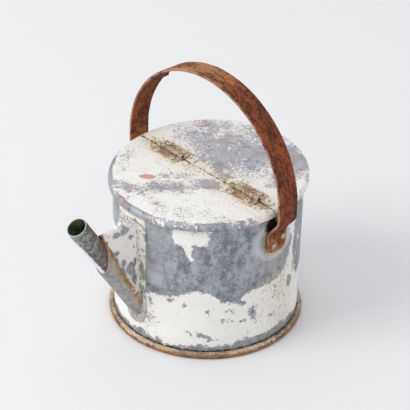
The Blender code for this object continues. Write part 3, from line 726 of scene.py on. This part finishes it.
def pipe_finish():
    """Dark brown pipe skin with patches of grey-green bloom, a pale green rim, an olive bore and runs of
    old paint. Its marks bloom, verdigris, bore and paint are shares."""
    material, place, shader = finish("patinated_pipe_skin")
    slow = place.noise(90.0, 5.0, 0.6)
    middle = place.noise(330.0, 5.0, 0.65, 2.0)
    fine = place.noise(1100.0, 3.0, 0.6, 4.0)
    bloom = (slow * 0.4 + middle * 0.4 + fine * 0.2 + place.mark("bloom") * 0.155).step(0.53, 0.64)
    run = (place.mark("paint") + (middle - 0.5) * 0.5).step(0.45, 0.52)
    olive = (slow * 0.5 + middle * 0.5).step(0.4, 0.6).tint((0.055, 0.055, 0.035), (0.19, 0.19, 0.11))
    colour = layered(
        middle.step(0.38, 0.62).tint((0.080, 0.057, 0.049), (0.180, 0.135, 0.120)),
        (fine.step(0.60, 0.70) * 0.5, (0.32, 0.30, 0.28)),
        (bloom * 0.85, (0.31, 0.355, 0.33)),
        (place.mark("verdigris").step(0.3, 0.9), (0.46, 0.60, 0.52)),
        (place.mark("bore"), olive),
        (run, (0.78, 0.76, 0.84)),
    )
    relief = middle * 0.5 + fine * 0.4 + run * 0.5
    surface(shader, colour, 0.55 + (middle - 0.5) * 0.4, relief, 0.0002, 0.35)
    return material


pipe_points, pipe_turn = pipe_skin()
up_the_pipe = (pipe_points[..., 2] - PIPE_ROOT[1]) / PIPE_RISE
pipe_row = np.arange(len(pipe_points))[:, None]
mouth = bell(pipe_row - 43.5, 3.2)
downward = np.clip(0.60 - 0.75 * np.cos(pipe_turn), 0.0, 1.0)
old_paint = np.clip(1.75 - 1.45 * up_the_pipe, 0.0, 1.0) * (pipe_row < 42)
pipe_marks = {
    "bloom": (0.10 + 0.90 * downward) * np.clip(up_the_pipe * 2.6 - 1.5, 0.0, 1.0) + 0.3 * mouth,
    "verdigris": mouth,
    "bore": np.clip((pipe_row - 45.0) / 2.0, 0.0, 1.0),
    "paint": bell(pipe_turn - math.pi, 0.75) * old_paint,
}
pipe = skin(
    "spout_pipe",
    pipe_points[:, ::-1],
    around=True,
    along=True,
    **{mark: values[:, ::-1] for mark, values in pipe_marks.items()},
)
fitted(pipe, pipe_finish(), "can", "patinated_pipe", "spout_tube")

# Spout housing
# One sheet folded round the pipe and pinched to a narrow ridge above it, a stiffening web between
# pipe and wall. Its edges are flanged out on the wall and soldered. It carries the wall's paint.

HOUSING_REACH = 0.0455
HOUSING_TOP = 0.1458
HOUSING_RIDGE = 0.0028
HOUSING_PINCH = 2.2
HOUSING_FLANGE_X = 0.0155
HOUSING_FLANGE_FOOT = 0.0070
HOUSING_SHEET = 0.0009
SEAT = 0.0003


def housing_half(y, share):
    """Right half of the housing's section across the spout: a quarter round under the pipe, then the
    wider of the pipe's upper round and a panel that narrows to the ridge, then the ridge's small round."""
    centre = PIPE_ROOT[1] + (-y - WALL_RADIUS) * math.tan(PIPE_ANGLE)
    wide = (PIPE_RADIUS + SEAT) / math.cos(math.pi / 24)
    tall = wide / math.cos(PIPE_ANGLE)
    low_turn = np.radians(np.linspace(0.0, 90.0, 25))
    ridge = HOUSING_TOP - HOUSING_RIDGE
    pipe_top = centre + min(tall, ridge - centre)
    heights = centre + (pipe_top - centre) * np.sin(np.radians(np.linspace(0.0, 90.0, 25)[1:]))
    heights = np.concatenate([heights, pipe_top + (ridge - pipe_top + 0.0001) * np.linspace(0, 1, 17)[1:]])
    round_pipe = wide * np.sqrt(np.clip(1.0 - ((heights - centre) / tall) ** 2, 0.0, 1.0))
    left_over = np.clip(1.0 - (heights - centre) / (ridge - centre), 0.0, 1.0)
    panel = HOUSING_RIDGE + (wide - HOUSING_RIDGE) * left_over ** (1.0 + HOUSING_PINCH * share)
    crown = np.radians(np.linspace(0.0, 90.0, 9)[1:])
    x = np.concatenate(
        [wide * np.sin(low_turn), np.maximum(round_pipe, panel), HOUSING_RIDGE * np.cos(crown)]
    )
    z = np.concatenate(
        [centre - tall * np.cos(low_turn), heights, heights[-1] + HOUSING_RIDGE * np.sin(crown)]
    )
    return x, z


def housing_skin():
    """Sections from the cut front edge back to the wall, closed around, then one row that lies on the
    wall as the flange, pushed out along the outline of the last section."""
    clear = WALL_RADIUS + SEAT
    front = -(WALL_RADIUS + HOUSING_REACH)
    rows = []
    for share in np.linspace(0.0, 1.0, 40):
        y = front + (-clear - front) * share
        x, z = housing_half(y, share)
        x, z = np.concatenate([x, -x[-2:0:-1]]), np.concatenate([z, z[-2:0:-1]])
        depth = y + 0.0 * x if share < 1.0 else -np.sqrt(clear**2 - x**2)
        rows.append(np.stack([x, depth, z], -1))
    x, z = rows[-1][:, 0], rows[-1][:, 2]
    run_x, run_z = np.roll(x, -1) - np.roll(x, 1), np.roll(z, -1) - np.roll(z, 1)
    length = np.hypot(run_x, run_z)
    side, down = run_z / length, -run_x / length
    wide = np.maximum(np.abs(x), HOUSING_FLANGE_X * np.abs(side))
    out_x = np.where(np.abs(side) > 0.05, np.copysign(wide, side), x)
    out_z = z + HOUSING_FLANGE_FOOT * np.minimum(down, 0.0)
    for share in np.linspace(0.0, 1.0, 9)[1:]:
        flat_x, flat_z = x + (out_x - x) * share, z + (out_z - z) * share
        rows.append(np.stack([flat_x, -np.sqrt(clear**2 - flat_x**2), flat_z], -1))
    return np.array(rows)


housing_points = housing_skin()
web_x, web_y, web_z = np.moveaxis(housing_points, -1, 0) * 1000
pipe_axis = PIPE_ROOT[1] * 1000 + (-web_y - WALL_RADIUS * 1000) * math.tan(PIPE_ANGLE)
above_axis = (web_z - pipe_axis) * math.cos(PIPE_ANGLE)
crust_line = np.interp(-web_y, [100, 110, 122, 132, 140, 146], [-2, 0, 2, 5, 8, 12])
off_line = above_axis - crust_line
wraps_pipe = bell(off_line, 5.0) * (web_y < -100.8)
flange = np.clip((102.5 + web_y) / 1.5, 0.0, 1.0)
# Bare spots on the web: its Y and height in mm, and half the spot's width and height.
HOUSING_BARE = (
    (-117, 142, 4.5, 3), (-127, 141, 4, 3), (-109, 132, 3, 3), (-130, 121, 3.5, 3), (-121, 107, 3.5, 3.5),
    (-112, 96, 6, 6.5), (-108, 82, 5, 5), (-105, 120, 1.5, 2.5), (-116, 124, 1.5, 1.5), (-104, 102, 2, 3),
)  # fmt: skip
bare_spots = spot_depth(web_y, web_z, HOUSING_BARE) * 2.2 + 1.0
bare_foot = np.minimum(3.0 - off_line * 0.8, 5.0) * (1 - flange)
bare_flange = flange * (2.2 * np.sin(web_z / 5.0) * np.sin(web_z / 2.1 + web_x / 2.0) - 0.8)
worn_ridge = 0.30 * bell(web_z - HOUSING_TOP * 1000, 4)
housing_marks = {
    "bare": np.maximum(bare_spots, bare_foot) + bare_flange,
    "thin": 0.10 + 0.15 * flange + 0.35 * (above_axis < 2.0) + worn_ridge,
    "stain": 0.75 * wraps_pipe + 0.30 * flange + 0.5 * bell(off_line + 6, 5) * (web_y < -125),
    "rust": 0.62 * wraps_pipe * (1 - flange) + 0.22 * flange + 0.6 * bell(web_y + 145.5, 1.6),
    "grime": 0.60 * bell(web_y + 101.6, 1.0) + 0.35 * bell(off_line - 4, 2),
    "haze": 0.10 * (above_axis < -2.0),
}
housing = skin(
    "spout_web",
    housing_points[::-1],
    around=True,
    **{mark: values[::-1] for mark, values in housing_marks.items()},
)
thickened(housing, HOUSING_SHEET, 1.0)
web_paint = flaked_paint("flaked_web_paint", 0.648, (0.20, 0.20, 0.22), (0.44, 0.435, 0.455))
fitted(housing, web_paint, "can", "flaked_white_paint", "spout_housing")

# Handle
# A flat bar bent to an arch. Its ends step in below the covers and lie on the wall, each held by
# two low rivets. It is rust all over: dark scale with orange dust, and a bright worn edge. On top of
# the arch the dust is thicker and paler: a painted highlight from the light above.

STRAP_WIDTH = 0.0250
STRAP_THICKNESS = 0.0030
ARCH_HALF_SPAN = 0.1147
ARCH_SPRING_HEIGHT = 0.1700
ARCH_RISE = 0.1107
ARCH_OFFSET = 0.0022
JOGGLE_TOP = 0.1570
JOGGLE_FOOT = 0.1410
FOOT_END = 0.1175
FOOT_CORNER = 0.0070
BEND_RADIUS = 0.0140
STRAP_EDGE = 0.0007
SCAB_DEPTH = 0.0022
SCAB_INNER_Y = 0.0078
# Scabs of scale under the bar: the place along it, half the length, and the share of the depth.
SCABS = ((0.1400, 0.0018, 1.0), (0.1355, 0.0020, 0.5))


def bent(path, radius, steps=9):
    """A path whose inner corners are rounded: each corner gives way to a curve weighted between the two
    sides that meet there."""
    path = np.array(path)
    result = [path[:1]]
    for before, corner, after in zip(path, path[1:], path[2:]):
        in_way, out_way = before - corner, after - corner
        in_length, out_length = np.linalg.norm(in_way), np.linalg.norm(out_way)
        in_way, out_way = in_way / in_length, out_way / out_length
        half = math.acos(np.clip(in_way @ out_way, -1.0, 1.0)) / 2
        back = min(radius / math.tan(half), 0.45 * in_length, 0.45 * out_length)
        share = np.linspace(0.0, 1.0, steps)[:, None]
        result.append(corner + in_way * (1 - share) ** 2 * back + out_way * share**2 * back)
    result.append(path[-1:])
    return np.concatenate(result)


def strap_skin():
    """A rounded oblong section carried along the bar's outer face, from the left foot over the arch to
    the right foot. Near each end the section narrows on a quarter round. Gives the points, and for each
    its way along the bar, its depth below the outer face and its share of a scab of scale."""
    foot = WALL_RADIUS + SEAT + STRAP_THICKNESS
    left, right = -ARCH_HALF_SPAN + ARCH_OFFSET, ARCH_HALF_SPAN + ARCH_OFFSET
    rise = [(-foot, FOOT_END), (-foot, JOGGLE_FOOT), (left, JOGGLE_TOP), (left, ARCH_SPRING_HEIGHT)]
    fall = [(right, ARCH_SPRING_HEIGHT), (right, JOGGLE_TOP), (foot, JOGGLE_FOOT), (foot, FOOT_END)]
    turn = np.radians(np.linspace(180.0, 0.0, 121)[1:-1])
    arch = np.stack(
        [ARCH_OFFSET + ARCH_HALF_SPAN * np.cos(turn), ARCH_SPRING_HEIGHT + ARCH_RISE * np.sin(turn)], -1
    )
    coarse = np.concatenate([bent(rise, BEND_RADIUS), arch, bent(fall, BEND_RADIUS)])
    run = np.concatenate([[0.0], np.cumsum(np.linalg.norm(np.diff(coarse, axis=0), axis=1))])
    ends = FOOT_CORNER * (1 - np.cos(np.radians(np.linspace(0, 90, 9))))
    even = np.concatenate([ends[:-1], np.linspace(FOOT_CORNER, run[-1] - FOOT_CORNER, 420)])
    even = np.concatenate([even, run[-1] - ends[-2::-1]])
    path = np.stack([np.interp(even, run, coarse[:, k]) for k in (0, 1)], -1)
    way = np.gradient(path, even, axis=0)
    way = np.stack([np.convolve(np.pad(way[:, k], 3, "edge"), np.ones(7) / 7, "valid") for k in (0, 1)], -1)
    way /= np.linalg.norm(way, axis=1)[:, None]
    inward = np.stack([way[:, 1], -way[:, 0]], -1)
    from_end = np.minimum(even, run[-1] - even)
    corner = np.clip(from_end / FOOT_CORNER, 0.0, 1.0)
    half_width = STRAP_WIDTH / 2 - FOOT_CORNER * (1 - np.sqrt(1 - (1 - corner) ** 2))
    half_depth = STRAP_THICKNESS / 2
    quarter = np.radians(np.linspace(0.0, 90.0, 4))
    edge_y = STRAP_EDGE * np.cos(quarter) - STRAP_EDGE
    edge_t = STRAP_EDGE * np.sin(quarter) - STRAP_EDGE
    flat = np.linspace(-1.0, 1.0, 12)[1:-1]
    # Corners in order: front outer, rear outer, rear inner, front inner.
    y_sign = np.concatenate([[1] * 4, [0] * 10, [-1] * 4, [-1] * 4, [0] * 10, [1] * 4])
    y_edge = np.concatenate([edge_y, np.zeros(10), -edge_y[::-1], -edge_y, np.zeros(10), edge_y[::-1]])
    y_flat = np.concatenate([[0] * 4, -flat, [0] * 4, [0] * 4, flat, [0] * 4])
    t_side = np.concatenate(
        [half_depth + edge_t, [half_depth] * 10, half_depth + edge_t[::-1],
         -half_depth - edge_t, [-half_depth] * 10, -half_depth - edge_t[::-1]]
    )  # fmt: skip
    inner = half_width[:, None] - STRAP_EDGE
    across = y_sign * half_width[:, None] + y_edge + y_flat * inner
    scab = sum(share * bell(even - place, length) for place, length, share in SCABS)[:, None]
    scab = scab * np.clip((across - SCAB_INNER_Y) / 0.003, 0.0, 1.0) * (t_side < 0)
    deep = half_depth - t_side + SCAB_DEPTH * scab
    worn = 0.00012 * ripple(even[:, None] * 55, across * 60, 31, 14)
    sunk = deep + np.maximum(worn, 0.0) * (deep < half_depth)
    points = np.stack(
        [
            path[:, :1] + inward[:, :1] * sunk,
            across - np.sign(across) * np.maximum(-worn, 0.0),
            path[:, 1:] + inward[:, 1:] * sunk,
        ],
        -1,
    )
    first, last = points[:1].mean(1, keepdims=True), points[-1:].mean(1, keepdims=True)
    closed = np.concatenate(
        [np.broadcast_to(first, points[:1].shape), points, np.broadcast_to(last, points[:1].shape)]
    )
    along = even[:, None] + 0.0 * deep
    return closed, *(np.pad(mark, ((1, 1), (0, 0)), "edge") for mark in (along, deep, scab))


def rusty_bar():
    """Rust on the bar in streaks along it: red-brown scale, orange dust, dark blotches and specks, pale
    flecks and a thin worn edge. Where the crown mark is high, the dust is a painted highlight: more of it,
    and paler. Marks: way is the distance along the bar and face the depth below its outer face, both in
    metres. Dust (with the painted highlight on the crown), crown, edge and scab are shares."""
    material, place, shader = finish("rusty_bar")
    depth = place.node("SeparateXYZ", {}, {0: place}, 1)
    bar = place.node("CombineXYZ", {}, {0: place.mark("way"), 1: depth, 2: place.mark("face")})
    slow = bar.stretched(0.55, 1.0, 1.0).noise(60.0, 5.0, 0.62)
    middle = bar.stretched(0.55, 1.0, 1.0).noise(170.0, 6.0, 0.70, 2.9)
    fine = bar.stretched(0.70, 1.0, 1.0).noise(430.0, 4.0, 0.70, 6.3)
    scale = (slow * 0.22 + middle * 0.33 + fine * 0.45).step(0.44, 0.57)
    dust = (slow * 0.35 + middle * 0.45 + fine * 0.2 + place.mark("dust") * 0.14).step(0.55, 0.66)
    flecks = (middle * 0.4 + fine * 0.6 - place.mark("dust") * 0.035).step(0.35, 0.41)
    edge = (place.mark("edge") + (middle - 0.5) * 1.6 + (fine - 0.5) * 0.8).step(0.75, 1.05)
    colour = layered(
        scale.tint((0.050, 0.019, 0.013), (0.40, 0.100, 0.034)),
        # Orange dust; on the crown of the arch it is paler, a painted highlight.
        (dust * 0.85, place.mark("crown").tint((0.47, 0.195, 0.058), (0.47, 0.245, 0.11))),
        (middle.step(0.55, 0.62) * 0.5, (0.060, 0.030, 0.021)),
        (fine.step(0.57, 0.61) * 0.8, (0.030, 0.016, 0.012)),
        (flecks * -0.55 + 0.55, (0.44, 0.33, 0.15)),
        (edge * 0.7, (0.46, 0.25, 0.18)),
        (place.mark("scab").step(0.1, 0.4), (0.060, 0.045, 0.025)),
    )
    relief = middle * 0.6 + fine * 0.5 + scale * 0.2
    surface(shader, colour, 0.82 + (fine - 0.5) * 0.3, relief, 0.00055, 0.16)
    return material


strap_points, strap_way, strap_face, strap_scab = strap_skin()
strap_z = strap_points[..., 2]
edge_mark = np.clip((np.abs(strap_points[..., 1]) - 0.0117) / 0.0006, 0.0, 1.0)
left_leg = (strap_points[..., 0] < 0) * np.clip((0.20 - strap_z) / 0.05, 0.0, 1.0)
# Painted highlight: the top of the arch, lit from above, gets more and paler orange dust through this crown
# mark.
crown = 0.95 * bell(strap_points[..., 0] + 0.015, 0.05) * (strap_z > 0.22)
foot_mark = np.clip((0.150 - strap_z) / 0.02, 0.0, 1.0)
tip_mark = np.clip((0.1235 - strap_z) / 0.006, 0.0, 1.0)
strap = skin(
    "handle_bar",
    strap_points,
    around=True,
    edge=edge_mark,
    crown=crown,
    # Dust on the left leg and the feet, and on the crown the painted highlight.
    dust=np.maximum.reduce([1.0 * left_leg, crown, 0.9 * foot_mark + 0.5 * tip_mark]),
    way=strap_way,
    face=strap_face,
    scab=strap_scab,
)
fitted(strap, rusty_bar(), "can", "rusty_steel", "handle_strap")

# Handle rivets
# Low round rivets, two in each foot, through bar and wall. Their heads are worn pale and dull, with
# rust creeping in from the bar.

FOOT_RIVETS = ((0.0075, 0.1330), (-0.0055, 0.1258))
FOOT_HEAD_RADIUS = 0.0040
FOOT_HEAD_HEIGHT = 0.0012
FOOT_SHANK_RADIUS = 0.0024


def turned(profile, steps=48):
    """Points of a profile of (radius, height) turned about the Z axis."""
    turn = np.linspace(0.0, 2.0 * math.pi, steps + 1)[:-1]
    profile = np.array(profile)
    reach, level = profile[:, :1], profile[:, 1:]
    return np.stack([reach * np.cos(turn), reach * np.sin(turn), level + 0.0 * turn], -1)


def dull_metal(name, pale, brown):
    """Dull worn rivet metal with rust in its hollows and round its foot."""
    material, place, shader = finish(name)
    middle = place.noise(600.0, 5.0, 0.62)
    fine = place.noise(2400.0, 3.0, 0.6, 3.0)
    rusted = (place.mark("rust") + (middle - 0.5) * 1.6).step(0.40, 0.65)
    metal = middle.step(0.3, 0.7).tint([channel * 0.72 for channel in pale], pale)
    colour = rusted.tint(metal, brown)
    surface(shader, colour, 0.45 + rusted * 0.3, middle * 0.6 + fine * 0.4, 0.00012)
    return material


rivet_metal = dull_metal("worn_rivet", (0.46, 0.41, 0.33), (0.26, 0.105, 0.04))
seat = WALL_RADIUS + 2 * SEAT + STRAP_THICKNESS
bulge = np.radians(np.linspace(0.0, 90.0, 10))
head = [(FOOT_HEAD_RADIUS * math.cos(b), FOOT_HEAD_HEIGHT * math.sin(b) ** 0.8) for b in bulge]
for sign, label in ((-1, "left"), (1, "right")):
    for index, (across, high) in enumerate(FOOT_RIVETS):
        inside = math.sqrt((WALL_RADIUS - SHEET) ** 2 - (abs(across) + FOOT_HEAD_RADIUS) ** 2) - 2 * SEAT
        grip = seat - inside
        profile = [(0.0, -grip - FOOT_HEAD_HEIGHT)]
        profile += [(0.85 * FOOT_HEAD_RADIUS, -grip - 0.8 * FOOT_HEAD_HEIGHT)]
        profile += [(FOOT_HEAD_RADIUS, -grip), (FOOT_SHANK_RADIUS, -grip), (FOOT_SHANK_RADIUS, 0.0)]
        points = turned(profile + head)
        outward, drift, up = points[..., 2], points[..., 0], points[..., 1]
        placed = np.stack([sign * (seat + outward), across + drift, high + sign * up], -1)
        rim_rust = np.clip(np.hypot(drift, up) / FOOT_HEAD_RADIUS * 1.5 - 0.85, 0.0, 0.6) + 0.28
        rivet = skin(f"foot_rivet_{label}_{index + 1}", placed, around=True, rust=rim_rust)
        fitted(rivet, rivet_metal, "can", "dull_rivet", f"handle_{label}_rivet_{index + 1}")

# Hinges
# Two steel butt hinges laid flat on the covers and held by blind rivets. Each leaf is one strip whose
# tongues are rolled into knuckles round a plain pin. Rust and a pale crust of old paint cover it.

HINGE_LIFT = 0.0027
HINGE_CENTRES_X = (-0.0530, 0.0610)
LEAF_LENGTH = 0.0390
LEAF_WIDTH = 0.0132
LEAF_THICKNESS = 0.0010
KNUCKLE_RADIUS = 0.0024
KNUCKLE_COUNT = 5
KNUCKLE_GAP = 0.0003
PIN_RADIUS = 0.0011
LEAF_RIVET_SPACING = 0.0236
LEAF_RIVET_INSET = 0.0086
POP_HEAD_RADIUS = 0.0032
POP_HEAD_HEIGHT = 0.0013
POP_HOLE_RADIUS = 0.0010
POP_SHANK_RADIUS = 0.0016
POP_TAIL_RADIUS = 0.0024
POP_TAIL_LENGTH = 0.0026


def hinge_place(points, centre_x):
    """Takes points laid out about a hinge's axis to their place on the leaning covers."""
    return lean(points + np.array([centre_x, HINGE_LINE_Y, HINGE_LIFT]))


def tongue_ends(own):
    """Tongues along the hinge that belong to one leaf, as (low end, high end)."""
    pitch = LEAF_LENGTH / KNUCKLE_COUNT
    for index in range(own, KNUCKLE_COUNT, 2):
        low = -LEAF_LENGTH / 2 + index * pitch
        yield (
            low + (KNUCKLE_GAP / 2 if index else 0.0),
            low + pitch - (KNUCKLE_GAP / 2 if index < KNUCKLE_COUNT - 1 else 0.0),
        )


def leaf_plate(side):
    """The flat of a leaf: a thin oblong with eased edges, a grid bent down at its border. Its columns
    run along the hinge and its rows away from it."""
    share_x = np.concatenate([[0.0, 0.0, 0.012], np.linspace(0.03, 0.97, 40), [0.988, 1.0, 1.0]])[None, :]
    share_y = np.concatenate([[0.0, 0.0, 0.03], np.linspace(0.08, 0.92, 12), [0.97, 1.0, 1.0]])[:, None]
    x = (share_x - 0.5) * LEAF_LENGTH + 0.0 * share_y
    near, far = KNUCKLE_RADIUS + KNUCKLE_GAP, LEAF_WIDTH
    y = side * (near + (far - near) * share_y) + 0.0 * x
    drop = np.full(y.shape, -(KNUCKLE_RADIUS - LEAF_THICKNESS))
    drop[:, [1, -2]] -= 0.00012
    drop[[1, -2], :] -= 0.00012
    drop[:, [0, -1]] = -KNUCKLE_RADIUS
    drop[[0, -1], :] = -KNUCKLE_RADIUS
    points = np.stack([x, y, drop], -1)
    under = points.copy()[::-1]
    under[..., 2] = -KNUCKLE_RADIUS
    closed = np.concatenate([points, under[1:-1]])
    return closed if side > 0 else closed[:, ::-1]


def rolled_tongue(side, low, high):
    """One tongue: the strip runs in flat from the leaf and rolls up and over the pin on a round of the
    knuckle's radius, one sheet thick, and is carried straight along the hinge."""
    roll = np.radians(np.linspace(-90.0, 195.0, 40))
    outer = np.stack([KNUCKLE_RADIUS * np.cos(roll), KNUCKLE_RADIUS * np.sin(roll)], -1)
    inner = outer[::-1] * (KNUCKLE_RADIUS - LEAF_THICKNESS) / KNUCKLE_RADIUS
    tail = -(KNUCKLE_RADIUS + KNUCKLE_GAP + 0.0004)
    start = [[tail, -KNUCKLE_RADIUS]]
    end = [[tail, -(KNUCKLE_RADIUS - LEAF_THICKNESS)]]
    ring = np.concatenate([start, outer, inner, end])
    ease = 0.00018
    middle = ring.mean(0)
    stations = [(low, 0.0), (low, 1.0), (low + ease, 1.0), (high - ease, 1.0), (high, 1.0), (high, 0.0)]
    rows = []
    for along, size in stations:
        shape = middle + (ring - middle) * size
        rows.append(np.stack([np.full(len(ring), along), -side * shape[:, 0], shape[:, 1]], -1))
    rows = np.array(rows)
    return rows if side < 0 else rows[:, ::-1]


def joined(name, grids, **marks):
    """Several closed grids as one piece. Grids are given as (points, around), marks as one value each."""
    first = skin(name, *grids[0], **{mark: values[0] for mark, values in marks.items()})
    body = bmesh.new()
    body.from_mesh(first.data)
    for index, (points, around) in enumerate(grids[1:], 1):
        other = skin("spare", points, around, **{mark: values[index] for mark, values in marks.items()})
        body.from_mesh(other.data)
        spare = other.data
        bpy.data.objects.remove(other)
        bpy.data.meshes.remove(spare)
    bmesh.ops.recalc_face_normals(body, faces=body.faces)
    body.to_mesh(first.data)
    body.free()
    first.data.shade_smooth()
    first.data.set_sharp_from_angle(angle=SHARP_ANGLE)
    return first


leaf_rust = rust_on("rusty_leaf", (0.25, 0.135, 0.075), (0.62, 0.42, 0.26), (0.76, 0.66, 0.48), 0.00025)
pop_metal = dull_metal("pop_rivet_metal", (0.62, 0.60, 0.55), (0.22, 0.13, 0.07))
pop_round = np.radians(np.linspace(90.0, 0.0, 8))[::-1]
pop_grip = 3 * SEAT + LEAF_THICKNESS + SHEET
pop_brim = POP_HOLE_RADIUS * 1.4
pop_bulge = POP_HEAD_RADIUS - pop_brim
pop_profile = [(0.0, -pop_grip - POP_TAIL_LENGTH), (POP_TAIL_RADIUS, -pop_grip - 0.6 * POP_TAIL_LENGTH)]
pop_profile += [(POP_TAIL_RADIUS, -pop_grip), (POP_SHANK_RADIUS, -pop_grip), (POP_SHANK_RADIUS, 0.0)]
pop_profile += [(pop_brim + pop_bulge * math.cos(b), POP_HEAD_HEIGHT * math.sin(b)) for b in pop_round]
pop_profile += [(POP_HOLE_RADIUS * 1.1, POP_HEAD_HEIGHT * 0.93), (POP_HOLE_RADIUS, POP_HEAD_HEIGHT * 0.8)]
pop_profile += [(POP_HOLE_RADIUS * 0.95, POP_HEAD_HEIGHT * 0.15), (0.0, POP_HEAD_HEIGHT * 0.12)]
pop_points = turned(pop_profile, 36)
pop_reach = np.hypot(pop_points[..., 0], pop_points[..., 1])
pop_rust = np.clip(pop_reach / POP_HEAD_RADIUS - 0.62, 0.0, 0.3)
pop_rust = pop_rust + 0.7 * (pop_reach < POP_HOLE_RADIUS * 1.05)

for label, centre_x in zip(("left", "right"), HINGE_CENTRES_X):
    for side, owner, body in ((-1, "fixed", "can"), (1, "lid", "lid")):
        grids = [(hinge_place(leaf_plate(side), centre_x), False)]
        for low, high in tongue_ends(0 if side < 0 else 1):
            grids.append((hinge_place(rolled_tongue(side, low, high), centre_x), True))
        plate = grids[0][0]
        plate_x = np.abs(plate[..., 0] - centre_x) * 1000
        plate_y = np.abs(plate[..., 1] - HINGE_LINE_Y) * 1000
        to_edge = np.minimum(19.5 - plate_x, 13.2 - plate_y)
        strip = bell(plate_y - 8.0, 2.0) * (0.5 if side < 0 else 0.25)
        tongues = len(grids) - 1
        rust_marks = [0.45 + 1.1 * strip] + [0.55] * tongues
        pale_marks = [0.62 * bell(to_edge, 1.8) + 0.38 - 0.8 * strip] + [0.50] * tongues
        leaf = joined(f"{label}_{owner}_leaf", grids, rust=rust_marks, pale=pale_marks)
        fitted(leaf, leaf_rust, body, "rusty_steel", f"hinge_{label}_{owner}_leaf")
        for index, end in enumerate((-1, 1)):
            place = [
                centre_x + end * LEAF_RIVET_SPACING / 2,
                HINGE_LINE_Y + side * LEAF_RIVET_INSET,
                2 * SEAT + LEAF_THICKNESS,
            ]
            rivet_name = f"{label}_{owner}_pop_rivet_{index + 1}"
            rivet = skin(rivet_name, lean(pop_points + place), around=True, rust=pop_rust)
            fitted(rivet, pop_metal, body, "dull_rivet", f"hinge_{label}_{owner}_rivet_{index + 1}")
    pin_ends = [(0.0, -LEAF_LENGTH / 2), (PIN_RADIUS * 0.8, -LEAF_LENGTH / 2)]
    pin_ends += [(PIN_RADIUS, -LEAF_LENGTH / 2 + 0.0002), (PIN_RADIUS, LEAF_LENGTH / 2 - 0.0002)]
    pin_ends += [(PIN_RADIUS * 0.8, LEAF_LENGTH / 2), (0.0, LEAF_LENGTH / 2)]
    points = turned(pin_ends, 24)
    lying = np.stack([points[..., 2], points[..., 0], points[..., 1]], -1)
    pin = skin(f"{label}_pin", hinge_place(lying, centre_x), around=True, rust=0.9, pale=0.1)
    fitted(pin, leaf_rust, "can", "rusty_steel", f"hinge_{label}_pin")
